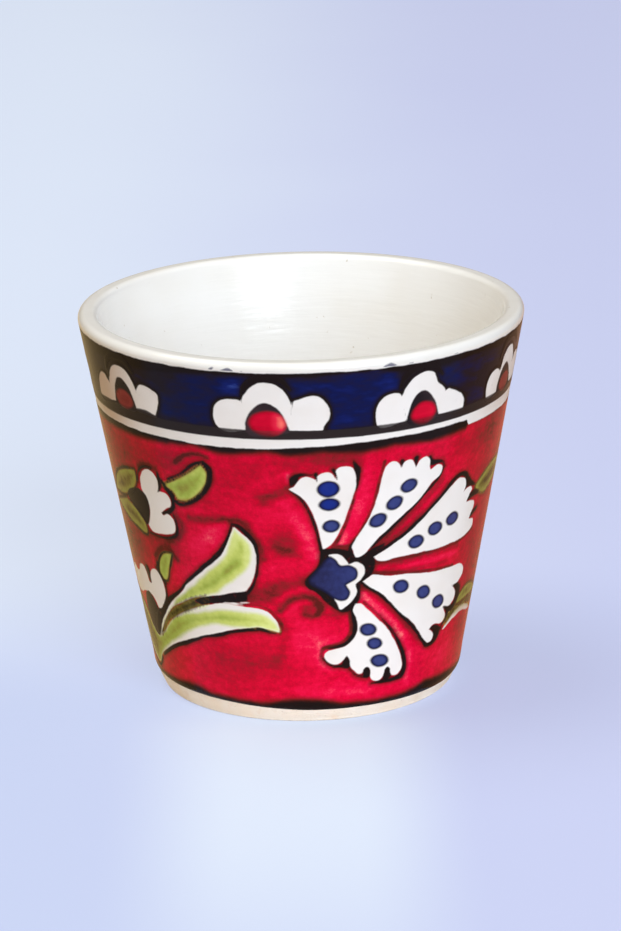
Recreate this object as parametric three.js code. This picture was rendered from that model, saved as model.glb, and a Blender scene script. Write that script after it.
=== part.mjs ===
// A small espresso cup with no handle. A turned clay body stands on a bare foot ring. White glaze covers the
// inside and the lip, and rings of fired colour cover the outside, each a thin coat bonded to the clay.
// Millimetres, +Z up, with the centre of the foot at the origin.

import * as THREE from "three";

// Driving dimensions of the finished cup
const cupHeight = 61;
const rimDiameter = 70;
const heelDiameter = 50;
const heelHeight = 6;
const footDiameter = 46.4;
const footRingWidth = 4.2;
const footEdgeRadius = 0.5;
const footFlare = 0.6;
const recessDepth = 1.4;
const recessCornerRadius = 1;
const lipThickness = 3.3;
const lipOuterRadius = 1.1;
const lipInnerRadius = 1.1;
const lowerWallThickness = 4.3;
const floorThickness = 4;
const insideCornerRadius = 5;
const coatThickness = 0.35;
const bondClearance = 0.05;

// Colour rings on the outside: six widths laid down from the round of the lip, then two laid up from the foot
const whiteBelowLip = 0.1;
const rimLineWidth = 0.6;
const borderWidth = 9.6;
const borderLineWidth = 0.7;
const whiteLineWidth = 1.5;
const fieldLineWidth = 0.8;
const bareFootHeight = 2.7;
const footLineWidth = 1;

// Fineness of the turned surfaces
const sidesAround = 72;
const stepsPerArc = 4;
const heelSteps = 4;

const rightAngle = Math.PI / 2;

// A straight side of the section through two points, given as radius and height
function straightSide(lowRadius, lowHeight, highRadius, highHeight) {
  const slope = (highRadius - lowRadius) / (highHeight - lowHeight);
  return {
    slope,
    lean: Math.atan(slope),
    radiusAt: (height) => lowRadius + slope * (height - lowHeight),
  };
}

// Points of a round corner of the section, from one angle to another about its centre
function corner(centreRadius, centreHeight, radius, startAngle, endAngle) {
  return Array.from({ length: stepsPerArc + 1 }, (_, step) => {
    const angle = startAngle + ((endAngle - startAngle) * step) / stepsPerArc;
    return new THREE.Vector2(
      centreRadius + radius * Math.cos(angle),
      centreHeight + radius * Math.sin(angle),
    );
  });
}

// The clay's outer side: a straight wall above the heel, and below it a soft curve in to the foot
const clayWall = straightSide(
  heelDiameter / 2 - coatThickness,
  heelHeight,
  rimDiameter / 2 - coatThickness,
  cupHeight - lipOuterRadius,
);

// A cubic that leaves the foot's edge at the flare's slope and meets the wall at the wall's slope
function clayRadiusAt(height) {
  if (height >= heelHeight) return clayWall.radiusAt(height);
  const rise = heelHeight - footEdgeRadius;
  const t = (height - footEdgeRadius) / rise;
  const footRadius = footDiameter / 2;
  const heelRadius = clayWall.radiusAt(heelHeight);
  const blend = t * t * (3 - 2 * t);
  const fromFoot = t * (1 - t) * (1 - t) * rise * footFlare;
  const intoWall = t * t * (t - 1) * rise * clayWall.slope;
  return footRadius + (heelRadius - footRadius) * blend + fromFoot + intoWall;
}

// Heights where one colour ring ends and the next begins. The round of the lip ends where it is square to the
// leaning wall, a little more than its radius down.
const lipRoundEnd = cupHeight - lipOuterRadius * (1 + Math.sin(clayWall.lean));
const lipEdge = lipRoundEnd - whiteBelowLip;
const borderTop = lipEdge - rimLineWidth;
const borderBottom = borderTop - borderWidth;
const whiteLineTop = borderBottom - borderLineWidth;
const whiteLineBottom = whiteLineTop - whiteLineWidth;
const fieldTop = whiteLineBottom - fieldLineWidth;
const fieldBottom = bareFootHeight + footLineWidth;

// Every height at which the clay's outer side has a ring of points, so that each coat meets it exactly
const heelHeights = Array.from(
  { length: heelSteps + 1 },
  (_, step) => footEdgeRadius + ((heelHeight - footEdgeRadius) * step) / heelSteps,
);
const footHeights = [bareFootHeight, fieldBottom];
const lineHeights = [fieldTop, whiteLineBottom, whiteLineTop, borderBottom, borderTop, lipEdge];
const clayHeights = [...new Set([...heelHeights, ...footHeights, ...lineHeights])].sort((a, b) => a - b);

// The floor, inside wall and lip, from the centre of the floor out to the lip's outer side. At depth 0 it is
// the surface of the white glaze, and at the coat's thickness it is the clay under it.
function insideSection(depth) {
  const floorTop = recessDepth + floorThickness;
  const insideWall = straightSide(
    clayRadiusAt(floorTop) + coatThickness - lowerWallThickness + depth,
    floorTop,
    rimDiameter / 2 - lipThickness + depth,
    cupHeight - lipInnerRadius,
  );
  const floorCorner = insideCornerRadius + depth;
  const innerRound = lipInnerRadius - depth;
  const outerRound = lipOuterRadius - depth;
  const floorCornerHeight = floorTop + insideCornerRadius;
  const innerRoundHeight = cupHeight - lipInnerRadius;
  const outerRoundHeight = cupHeight - lipOuterRadius;
  const outerSideRadius = clayWall.radiusAt(outerRoundHeight) + coatThickness - depth;
  return [
    new THREE.Vector2(0, floorTop - depth),
    ...corner(
      insideWall.radiusAt(floorCornerHeight) - floorCorner / Math.cos(insideWall.lean),
      floorCornerHeight,
      floorCorner,
      -rightAngle,
      -insideWall.lean,
    ),
    ...corner(
      insideWall.radiusAt(innerRoundHeight) + innerRound / Math.cos(insideWall.lean),
      innerRoundHeight,
      innerRound,
      2 * rightAngle - insideWall.lean,
      rightAngle,
    ),
    ...corner(
      outerSideRadius - outerRound / Math.cos(clayWall.lean),
      outerRoundHeight,
      outerRound,
      rightAngle,
      -clayWall.lean,
    ),
    new THREE.Vector2(clayRadiusAt(lipEdge) + coatThickness - depth, lipEdge),
  ];
}

// The underside and outer side of the clay, from the centre of the recess out over the foot and up to the lip
function outsideSection() {
  const footRadius = footDiameter / 2;
  const recessRadius = footRadius - footRingWidth;
  return [
    new THREE.Vector2(0, recessDepth),
    ...corner(
      recessRadius - recessCornerRadius,
      recessDepth - recessCornerRadius,
      recessCornerRadius,
      rightAngle,
      0,
    ),
    new THREE.Vector2(recessRadius, 0),
    ...corner(
      footRadius - footEdgeRadius,
      footEdgeRadius,
      footEdgeRadius,
      -rightAngle,
      0,
    ),
    ...clayHeights
      .filter((height) => height > footEdgeRadius)
      .map((height) => new THREE.Vector2(clayRadiusAt(height), height)),
  ];
}

// A closed section of colour between two heights, from the clay out to the coat's surface
function coatSection(bottom, top) {
  const heights = clayHeights.filter((height) => height >= bottom && height <= top);
  const side = (depth) => heights.map((height) => new THREE.Vector2(clayRadiusAt(height) + depth, height));
  const outer = side(coatThickness);
  const inner = side(bondClearance).reverse();
  return [...outer, ...inner, outer[0].clone()];
}

const claySection = [...outsideSection(), ...insideSection(coatThickness).reverse().slice(1)];
const insideGlazeSection = [...insideSection(coatThickness - bondClearance), ...insideSection(0).reverse()];

function finish(colour, roughness) {
  return new THREE.MeshStandardMaterial({ color: colour, roughness, metalness: 0 });
}

const biscuit = finish(0xeeddc6, 0.85);
const whiteGlaze = finish(0xf4f2ee, 0.2);
const cobaltGlaze = finish(0x0d1760, 0.22);
const redGlaze = finish(0xc0122c, 0.25);
const blackLine = finish(0x17110f, 0.3);

const cup = new THREE.Group();
cup.rotation.x = rightAngle;

function turn(name, section, material) {
  const mesh = new THREE.Mesh(new THREE.LatheGeometry(section, sidesAround), material);
  mesh.name = name;
  cup.add(mesh);
}

turn("clay_body", claySection, biscuit);
turn("inside_glaze", insideGlazeSection, whiteGlaze);
turn("rim_line", coatSection(borderTop, lipEdge), blackLine);
turn("cobalt_border", coatSection(borderBottom, borderTop), cobaltGlaze);
turn("border_line", coatSection(whiteLineTop, borderBottom), blackLine);
turn("white_line", coatSection(whiteLineBottom, whiteLineTop), whiteGlaze);
turn("field_line", coatSection(fieldTop, whiteLineBottom), blackLine);
turn("red_field", coatSection(fieldBottom, fieldTop), redGlaze);
turn("foot_line", coatSection(bareFootHeight, fieldBottom), blackLine);

export default cup;
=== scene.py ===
# A hand painted espresso cup with no handle: turned clay on a bare foot, white glaze inside and over the lip,
# and rings of brushed colour outside. Each ring is a closed turned surface worked out with numpy, and the
# flowers and lines are distances kept on its points, which the materials turn into brushed edges.
import math

import bpy
import numpy as np
from mathutils import Matrix, Vector


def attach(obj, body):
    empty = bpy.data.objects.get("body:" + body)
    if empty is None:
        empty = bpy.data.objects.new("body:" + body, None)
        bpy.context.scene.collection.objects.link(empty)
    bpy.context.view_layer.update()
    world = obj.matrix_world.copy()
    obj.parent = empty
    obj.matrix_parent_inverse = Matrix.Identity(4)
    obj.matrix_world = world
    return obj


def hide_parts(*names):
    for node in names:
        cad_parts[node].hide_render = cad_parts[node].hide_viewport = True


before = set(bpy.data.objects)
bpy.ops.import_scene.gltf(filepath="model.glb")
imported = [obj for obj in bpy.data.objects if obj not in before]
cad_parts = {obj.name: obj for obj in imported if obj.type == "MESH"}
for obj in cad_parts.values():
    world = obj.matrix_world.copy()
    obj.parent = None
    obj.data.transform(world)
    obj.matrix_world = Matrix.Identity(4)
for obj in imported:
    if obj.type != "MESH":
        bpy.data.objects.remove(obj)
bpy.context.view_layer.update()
print("frame loaded:", len(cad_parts), "nodes")

mm = 0.001

# The cup's form, in millimetres. The dimensions down to the bond are those of the CAD source, and the others
# are what this surface adds to it.
cup = {
    "height": 61.0,
    "rimRadius": 35.0,
    "heelRadius": 25.0,
    "heelHeight": 6.0,
    "footRadius": 23.2,
    "footRingWidth": 4.2,
    "footEdge": 0.5,
    "footFlare": 0.6,
    "recessDepth": 1.4,
    "recessCorner": 1.0,
    "lipThickness": 3.3,
    "lipRound": 1.1,
    "lowerWall": 4.3,
    "floorThickness": 4.0,
    "floorCorner": 5.0,
    "coat": 0.35,
    "bond": 0.05,
    "glazeSink": 0.06,    # how far the painted surface lies under the CAD's, to leave room for raised ink
    "waver": 0.05,    # how far the hand turned wall wanders from a true circle
    "ringWear": 0.35,    # the foot ring's inner edge is rubbed round
    "bareShown": 0.9,    # how far up behind the glaze's lower edge the clay counts as seen
}

lipRoundHeight = cup["height"] - cup["lipRound"]
wallSlope = (cup["rimRadius"] - cup["heelRadius"]) / (lipRoundHeight - cup["heelHeight"])
lean = math.atan(wallSlope)
coneTip = cup["heelHeight"] - cup["heelRadius"] / wallSlope    # where the wall would come to a point

# Heights of the edges between the rings of colour
edges = {
    "lip": 59.6,
    "borderTop": 59.0,
    "borderBottom": 49.4,
    "whiteTop": 48.7,
    "whiteBottom": 47.2,
    "fieldTop": 46.4,
    "fieldBottom": 3.7,
    "bareFoot": 2.7,
}
fieldRows = [5.0, 6.0, 20.0, 40.0]    # heights of the hidden rows of points under the red field
borderRow = 54.0    # height of the hidden row of points under the border


# The clay's radius at a height: a straight leaning wall, and under the heel a cubic that leaves the foot's
# edge at the flare's slope and meets the wall at the wall's slope
def clayRadius(height):
    height = np.asarray(height, float)
    wall = cup["heelRadius"] - cup["coat"] + wallSlope * (height - cup["heelHeight"])
    rise = cup["heelHeight"] - cup["footEdge"]
    t = np.clip((height - cup["footEdge"]) / rise, 0, 1)
    heel = cup["heelRadius"] - cup["coat"]
    blend = cup["footRadius"] + (heel - cup["footRadius"]) * t * t * (3 - 2 * t)
    blend = blend + t * (1 - t) ** 2 * rise * cup["footFlare"] + t * t * (t - 1) * rise * wallSlope
    return np.where(height >= cup["heelHeight"], wall, blend)


# A round corner of the section: centre, radius and the two angles in degrees
def arc(centreRadius, centreHeight, radius, start, end, steps):
    angle = np.radians(np.linspace(start, end, steps + 1))
    return np.stack([centreRadius + radius * np.cos(angle), centreHeight + radius * np.sin(angle)], 1)


# A straight part of the section between two points, without its ends
def between(start, end, steps):
    share = np.linspace(0, 1, steps + 1)[1:-1, None]
    return np.asarray(start) * (1 - share) + np.asarray(end) * share


# The floor, inside wall and lip from near the axis to the lip's outer edge, sunk by depth under the glaze
def insideSection(depth, fine):
    floorTop = cup["recessDepth"] + cup["floorThickness"]
    low = clayRadius(floorTop) + cup["coat"] - cup["lowerWall"] + depth
    high = cup["rimRadius"] - cup["lipThickness"] + depth
    slope = (high - low) / (lipRoundHeight - floorTop)
    innerLean = math.atan(slope)
    floorRound = cup["floorCorner"] + depth
    lipRound = cup["lipRound"] - depth
    cornerHeight = floorTop + cup["floorCorner"]
    cornerRadius = low + slope * (cornerHeight - floorTop) - floorRound / math.cos(innerLean)
    outer = clayRadius(lipRoundHeight) + cup["coat"] - depth
    innerDegrees = math.degrees(innerLean)
    innerMiddle = high + lipRound / math.cos(innerLean)
    outerMiddle = outer - lipRound / math.cos(lean)
    floorArc = arc(cornerRadius, cornerHeight, floorRound, -90, -innerDegrees, 3 * fine)
    innerArc = arc(innerMiddle, lipRoundHeight, lipRound, 180 - innerDegrees, 90, 2 * fine)
    outerArc = arc(outerMiddle, lipRoundHeight, lipRound, 90, -math.degrees(lean), 2 * fine)
    edge = [[clayRadius(edges["lip"]) + cup["coat"] - depth, edges["lip"]]]
    return np.vstack([
        between([0, floorTop - depth], floorArc[0], 3 * fine),
        floorArc,
        between(floorArc[-1], innerArc[0], 9 * fine),
        innerArc,
        between(innerArc[-1], outerArc[0], fine),
        outerArc,
        edge,
    ])


# The underside of the clay, its foot ring and its outer side up to the lip
def undersideSection(fine):
    recessRadius = cup["footRadius"] - cup["footRingWidth"]
    corner = cup["recessCorner"]
    recess = arc(recessRadius - corner, cup["recessDepth"] - corner, corner, 90, 0, fine)
    wear = cup["ringWear"]
    ringInner = arc(recessRadius + wear, wear, wear, 180, 270, fine)
    foot = arc(cup["footRadius"] - cup["footEdge"], cup["footEdge"], cup["footEdge"], -90, 0, fine)
    bare = np.linspace(cup["footEdge"], edges["bareFoot"] + cup["bareShown"], 3 * fine)[1:]
    side = np.concatenate([bare, fieldRows, [edges["lip"]]])
    return np.vstack([
        between([0, cup["recessDepth"]], recess[0], 2 * fine),
        recess,
        ringInner,
        between(ringInner[-1], foot[0], fine),
        foot,
        np.stack([clayRadius(side), side], 1),
    ])


# Angles round the cup in degrees, from the front and growing towards +X
def anglesRound(sides):
    return np.arange(sides) * 360 / sides


# What the turner's hand leaves: slow waves, which add up to 4.8 at most, bring the wall in by a few
# hundredths of a millimetre, more towards the rim
def waver(turn, heights):
    waves = 2.4 + np.sin(2 * turn + 0.6) + 0.8 * np.sin(3 * turn + heights * 0.05)
    waves = waves + 0.6 * np.sin(heights * 0.55 + turn)
    return cup["waver"] * waves / 4.8 * (0.3 + 0.7 * heights / cup["height"])


# Puts an object for this data into the scene
def inScene(name, data):
    made = bpy.data.objects.new(name, data)
    bpy.context.scene.collection.objects.link(made)
    return made


meshing = {
    "sharpBeyond": 50,    # degrees between faces from which their edge is sharp
    "hiddenShare": 0.025,    # what a row that never shows takes of its length on the map
    "leastStep": 0.0001,
    "mapPad": 0.004,
}


# A closed turned mesh. Rows follow the section, columns go round, and the place of a point is
# (radius sin turn, -radius cos turn, height). A ring's last row joins its first, and any other piece is
# closed by a point on the axis at each end. seen says which rows of faces show, for their share of the map.
def turnedMesh(name, radius, height, seen, strips, axisHeights=None):
    rows, sides = radius.shape
    turn = np.radians(anglesRound(sides))[None]
    radius = radius - waver(turn, height)
    places = np.stack([radius * np.sin(turn), -radius * np.cos(turn), height], -1).reshape(-1, 3)
    isRing = axisHeights is None
    row = np.arange(rows if isRing else rows - 1)[:, None]
    column = np.arange(sides)[None]
    nextRow = (row + 1) % rows
    nextColumn = (column + 1) % sides
    quads = np.stack([
        row * sides + column,
        row * sides + nextColumn,
        nextRow * sides + nextColumn,
        nextRow * sides + column,
    ], -1).reshape(-1, 4)
    faces = quads.tolist()
    if not isRing:
        first = places.shape[0]
        places = np.vstack([places, [[0, 0, axisHeights[0]], [0, 0, axisHeights[1]]]])
        around = np.arange(sides)
        onward = (around + 1) % sides
        lastRow = (rows - 1) * sides
        faces += np.stack([np.full(sides, first), onward, around], 1).tolist()
        faces += np.stack([lastRow + around, lastRow + onward, np.full(sides, first + 1)], 1).tolist()
    mesh = bpy.data.meshes.new(name)
    mesh.from_pydata((places * mm).tolist(), [], faces)
    mesh.update()
    mesh.polygons.foreach_set("use_smooth", np.ones(len(faces), bool))
    mesh.set_sharp_from_angle(angle=math.radians(meshing["sharpBeyond"]))
    layMap(mesh, radius[:, 0], height[:, 0], seen, strips, sides, isRing)
    return inScene(name, mesh)


# The piece's map: its turned surface is cut into equal strips laid out in columns and rows. Across a strip
# goes the angle, and up it the length along the section, in which rows that never show take little.
def layMap(mesh, radius, height, seen, strips, sides, isRing):
    columns, lines = strips
    perStrip = sides // (columns * lines)
    step = np.hypot(np.diff(radius), np.diff(height))
    if isRing:
        step = np.append(step, math.hypot(radius[-1] - radius[0], height[-1] - height[0]))
    step = (step + meshing["leastStep"]) * np.where(seen, 1, meshing["hiddenShare"])
    share = np.concatenate([[0], np.cumsum(step)])
    if not isRing:
        share = np.concatenate([[0], share + radius[0], [share[-1] + radius[0] + radius[-1]]])
    share = share / share[-1]
    low, high = (share[:-1], share[1:]) if isRing else (share[1:-2], share[2:-1])
    column = np.arange(sides)
    strip = column // perStrip
    across = np.stack([(column % perStrip) / perStrip, (column % perStrip + 1) / perStrip], 1)
    pad = meshing["mapPad"]
    across = (strip % columns)[:, None] / columns + pad + across * (1 / columns - 2 * pad)
    base = (strip // columns) / lines + pad
    scale = 1 / lines - 2 * pad
    corners = np.empty((len(low), sides, 4, 2))
    corners[..., 0] = across[None][..., [0, 1, 1, 0]]
    corners[..., 0:2, 1] = (base[None] + low[:, None] * scale)[..., None]
    corners[..., 2:4, 1] = (base[None] + high[:, None] * scale)[..., None]
    flat = [corners.reshape(-1, 2)]
    if not isRing:
        middle = across.mean(1)
        bottom = [middle, base + share[0] * scale, across[:, 1], base + share[1] * scale]
        bottom += [across[:, 0], base + share[1] * scale]
        top = [across[:, 0], base + share[-2] * scale, across[:, 1], base + share[-2] * scale]
        top += [middle, base + share[-1] * scale]
        flat += [np.stack(bottom, 1).reshape(-1, 2), np.stack(top, 1).reshape(-1, 2)]
    layer = mesh.uv_layers.new(name="OFBake")
    layer.uv.foreach_set("vector", np.vstack(flat).ravel())


# Painted shapes are given as (degrees round from the front, millimetres up).

# Rolls the leaning wall out flat. A point lies as far from the cone's tip as it does along the wall, turned
# by its angle round the cup times the sine of the lean.
def unroll(turns, heights):
    reach = (np.asarray(heights, float) - coneTip) / math.cos(lean)
    swing = np.radians(turns) * math.sin(lean)
    return np.stack([reach * np.sin(swing), reach * np.cos(swing)], -1)


curveSteps = 6    # pieces of a curve from one of its points to the next


# A smooth curve through the points. At each one it runs along the mean of the two chords that meet there, the
# shorter chord weighing more, and a cubic joins each point to the next.
def smoothRun(points):
    padded = np.vstack([2 * points[0] - points[1], points, 2 * points[-1] - points[-2]])
    chord = np.diff(padded, axis=0)
    length = np.linalg.norm(chord, axis=1)[:, None] + 1e-9
    heading = chord / length
    slope = (heading[:-1] * length[1:] + heading[1:] * length[:-1]) / (length[:-1] + length[1:])
    leave = (slope[:-1] * length[1:-1])[:, None]
    arrive = (slope[1:] * length[1:-1])[:, None]
    start, end = points[:-1, None], points[1:, None]
    t = (np.arange(curveSteps) / curveSteps)[None, :, None]
    curve = start * (2 * t ** 3 - 3 * t ** 2 + 1) + leave * (t ** 3 - 2 * t ** 2 + t)
    curve = curve + end * (3 * t ** 2 - 2 * t ** 3) + arrive * (t ** 3 - t ** 2)
    return np.vstack([curve.reshape(-1, 2), points[-1:]])


# A closed outline on the flat wall, from smooth runs that meet at corners; each starts where the last ended
def outline(*runs):
    flat = [unroll(*np.transpose(run)) for run in runs]
    curves = [smoothRun(np.vstack([flat[i - 1][-1:], run]))[:-1] for i, run in enumerate(flat)]
    return np.vstack(curves)


# A closed outline with no corners
def roundOutline(points):
    flat = unroll(*np.transpose(points))
    looped = np.vstack([flat[-2:], flat, flat[:2]])
    return smoothRun(looped)[2 * curveSteps:-curveSteps - 1]


# From each start to each place, how far along the side there the nearest point of it lies, and how far away
def toSides(places, start, side):
    gap = places[:, None] - start
    along = np.clip((gap * side).sum(-1) / ((side ** 2).sum(-1) + 1e-12), 0, 1)
    return gap, along, np.linalg.norm(gap - along[..., None] * side, axis=-1)


# How far each place is inside a closed outline, or minus how far outside. The distance is to the nearest
# point of any side, and a place is inside when a line from it crosses an odd number of sides.
def depthInside(places, loop):
    side = np.roll(loop, -1, 0) - loop
    gap, along, apart = toSides(places, loop, side)
    straddles = (gap[..., 1] < 0) != (gap[..., 1] < side[:, 1])
    reach = side[:, 0] * gap[..., 1] / np.where(side[:, 1] == 0, 1e-12, side[:, 1])
    crossings = (straddles & (gap[..., 0] < reach)).sum(1)
    return np.where(crossings % 2 == 1, 1, -1) * apart.min(1)


# How far each place is inside a brush stroke: the stroke's half width there less the distance to its middle
def depthInStroke(places, curve, halfWidths):
    gap, along, apart = toSides(places, curve[:-1], np.diff(curve, axis=0))
    return (halfWidths[:-1] + along * np.diff(halfWidths) - apart).max(1)


# Places across and up an oval that is tilted by some degrees, in shares of its half width and half height
def acrossOval(places, turn, height, width, tall, tilt):
    swing = math.radians(tilt) - math.radians(turn) * math.sin(lean)
    gap = places - unroll(turn, height)
    along = gap[:, 0] * math.cos(swing) + gap[:, 1] * math.sin(swing)
    up = gap[:, 1] * math.cos(swing) - gap[:, 0] * math.sin(swing)
    return along * 2 / width, up * 2 / tall


# What each point of the painted wall keeps: signed distances to the painted shapes, in millimetres, and tones
distances = ["redSide", "blueSide", "ink", "thin", "white", "footing", "leaf", "dot", "eye", "heart"]
tones = ["leafTone", "dotTone", "heartTone", "wash", "stain"]
farAway = 2.0    # millimetres beyond which a distance no longer matters

brushwork = {
    "dabRoundness": 1.9,    # 2 is an ellipse, and less is more pointed
    "daisyLine": 0.45,    # ink round the daisies' petals
    "eyeSpread": 0.12,
    "calyxTone": 0.34,    # of the calyx's blue at its right end
    "tailSpread": 0.15,
    "tailReach": 0.1,
}


# The outside of the cup as the painter sees it: the angle and height of each point and one number per layer
class PaintedWall:
    def __init__(self, turns, heights):
        self.turns = turns.ravel()
        self.heights = heights.ravel()
        self.layers = {name: np.full(self.turns.shape, -farAway) for name in distances}
        self.layers.update({name: np.zeros(self.turns.shape) for name in tones})
        self.face(0)

    # Turns the cup so that this angle is in front for what is painted next
    def face(self, angle):
        self.places = unroll((self.turns - angle + 180) % 360 - 180, self.heights)

    def near(self, points, margin=farAway):
        inside = (self.places > points.min(0) - margin) & (self.places < points.max(0) + margin)
        return np.flatnonzero(inside.all(-1))

    # Keeps the greater depth at each point, and the tone of what was painted last
    def lay(self, name, where, depth, tone=None, reach=0.7):
        if tone is not None:
            toned = where[depth > -reach]
            self.layers[name + "Tone"][toned] = tone(self.places[toned]) if callable(tone) else tone
        layer = self.layers[name]
        layer[where] = np.maximum(layer[where], depth)

    def fill(self, name, loop, grow=0.0, **toning):
        where = self.near(loop)
        self.lay(name, where, depthInside(self.places[where], loop) + grow, **toning)

    def stroke(self, name, points, widths):
        curve = smoothRun(unroll(*np.transpose(points)))
        spread = np.interp(np.linspace(0, 1, len(curve)), np.linspace(0, 1, len(widths)), widths) / 2
        where = self.near(curve)
        self.lay(name, where, depthInStroke(self.places[where], curve, spread))

    # An oval dab: its middle, width and height in millimetres, its tilt in degrees and its tone
    def dab(self, name, turn, height, width, tall, tilt, tone):
        where = self.near(unroll(turn, height)[None], width + farAway)
        along, up = acrossOval(self.places[where], turn, height, width, tall, tilt)
        power = brushwork["dabRoundness"]
        reach = (np.abs(along) ** power + np.abs(up) ** power) ** (1 / power)
        self.lay(name, where, (1 - reach) * min(width, tall) / 2, tone)

    # A soft patch of darker (below zero) or lighter (above zero) colour. Some stand for the paint's own
    # unevenness, and those at the cup's left and right sides are painted shade.
    def patch(self, turn, height, width, tall, amount, tilt=0, layer="wash"):
        along, up = acrossOval(self.places, turn, height, width, tall, tilt)
        self.layers[layer] += amount * np.exp(-(along ** 2 + up ** 2))

    # A line of this width drawn round the outside of a closed outline
    def rim(self, name, loop, width):
        where = self.near(loop)
        self.lay(name, where, width / 2 - np.abs(depthInside(self.places[where], loop) + width / 2))

    # A soft brushed line of lighter or darker ground
    def brush(self, points, width, amount, layer="wash"):
        curve = smoothRun(unroll(*np.transpose(points)))
        where = self.near(curve, 2 * width)
        apart = depthInStroke(self.places[where], curve, np.zeros(len(curve)))
        self.layers[layer][where] += amount * np.exp(-(apart * 2 / width) ** 2)


# Heights of the edges that wander as they go round, as (degrees, millimetres) points
wanderingEdges = {
    "lipEdge": [(-60, 59.5), (-20, 59.42), (0, 59.5), (30, 59.45), (70, 59.5), (150, 59.4), (230, 59.52)],
    "blueFoot": [(-72, 50.4), (-52, 50.6), (-48, 50.9), (-44, 50.9), (-42, 50.1), (-20, 50.1), (0, 50),
        (25, 50.1), (50, 50.2), (100, 50.4), (150, 50), (200, 50.3), (250, 50.1)],
    "blueTop": [(-60, 57.6), (-50, 57.6), (-42, 57.8), (-36, 58.2), (-28, 58.6), (-18, 59), (-10, 58.7),
        (-2, 58.8), (5, 59), (12, 59.2), (20, 59.1), (26, 58.3), (34, 58.1), (44, 58.4), (52, 58.5),
        (60, 58.2), (75, 58.4), (90, 58.8), (120, 58.2), (170, 58.7), (215, 58), (250, 58.6), (285, 58)],
    "whiteTop": [(-60, 48.5), (-35, 48.6), (-10, 48.65), (10, 48.7), (30, 48.75), (70, 48.75),
        (180, 48.6)],
    "whiteFoot": [(-60, 47.1), (-35, 47), (-23, 46.9), (-15, 47), (-5, 47.2), (5, 47.4), (15, 47.6),
        (25, 47.8), (50.3, 47.8), (50.6, 46.85), (72, 46.9), (110, 47.2), (180, 47.3), (240, 47.1)],
    "redTop": [(-70, 46.2), (-45, 46.15), (-38, 46.5), (-31, 46.8), (-27, 46.5), (-23, 46.1),
        (-19, 46.1), (-15, 46.4), (-10, 46.7), (-5, 46.2), (0, 46.3), (5, 46.6), (10, 46.3), (15, 46.1),
        (20, 46.3), (25, 46.7), (31, 46.4), (38, 46.2), (46, 46.4), (50.2, 46.5), (50.5, 47.3),
        (72, 47.2), (90, 46.4), (120, 46), (150, 46.5), (180, 46), (210, 46.6), (240, 46.1), (265, 46.4)],
    "redFoot": [(-64, 3.6), (-52, 4), (-44, 4.2), (-38, 3.5), (-28, 3.3), (-17, 3.1), (-11, 3.6),
        (-4, 4.15), (2, 4), (8, 3.4), (14, 2.95), (24, 2.8), (38, 2.95), (43, 3.3), (47, 3.9), (54, 3.6),
        (62, 3.5), (72, 3.1), (95, 3.6), (120, 3.1), (150, 3.9), (180, 3.4), (210, 3.9), (240, 3.5),
        (270, 3.8)],
    "glazeFoot": [(-60, 2.85), (-45, 2.87), (-30, 2.75), (-20, 2.57), (-10, 2.4), (0, 2.22), (20, 2.18),
        (40, 2.05), (55, 1.95), (70, 1.85), (110, 1.9), (160, 2.3), (220, 2.7), (270, 2.88)],
}
softTurn = 1.6    # degrees to each side of a point over which an edge turns there
sharpTurns = {"whiteFoot": 0.15, "redTop": 0.3}    # the same, for the edges that have a step


# The height of an edge is the mean of three taken a little apart, so that the edge turns softly at a point
def edgeRound(turns, name):
    angle, height = np.transpose(wanderingEdges[name])
    apart = sharpTurns.get(name, softTurn)
    return sum(np.interp(turns + shift, angle, height, period=360) for shift in (-apart, 0, apart)) / 3


# The lines and grounds that go right round the cup
def paintBands(wall):
    z, layers = wall.heights, wall.layers
    at = {name: edgeRound(wall.turns, name) for name in wanderingEdges}
    layers["redSide"] = np.minimum(at["redTop"] - z, z - at["redFoot"])
    layers["blueSide"] = np.minimum(at["blueTop"] - z, z - at["blueFoot"])
    # the brown line under the border is brushed over the feet of the daisies
    layers["footing"] = np.minimum(at["blueFoot"] - z, z - at["whiteTop"])
    layers["white"] = np.maximum(np.minimum(at["whiteTop"] - z, z - at["whiteFoot"]), z - at["lipEdge"])
    for name in ["redSide", "blueSide", "footing", "white"]:
        layers[name] = np.clip(layers[name], -farAway, farAway)


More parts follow.
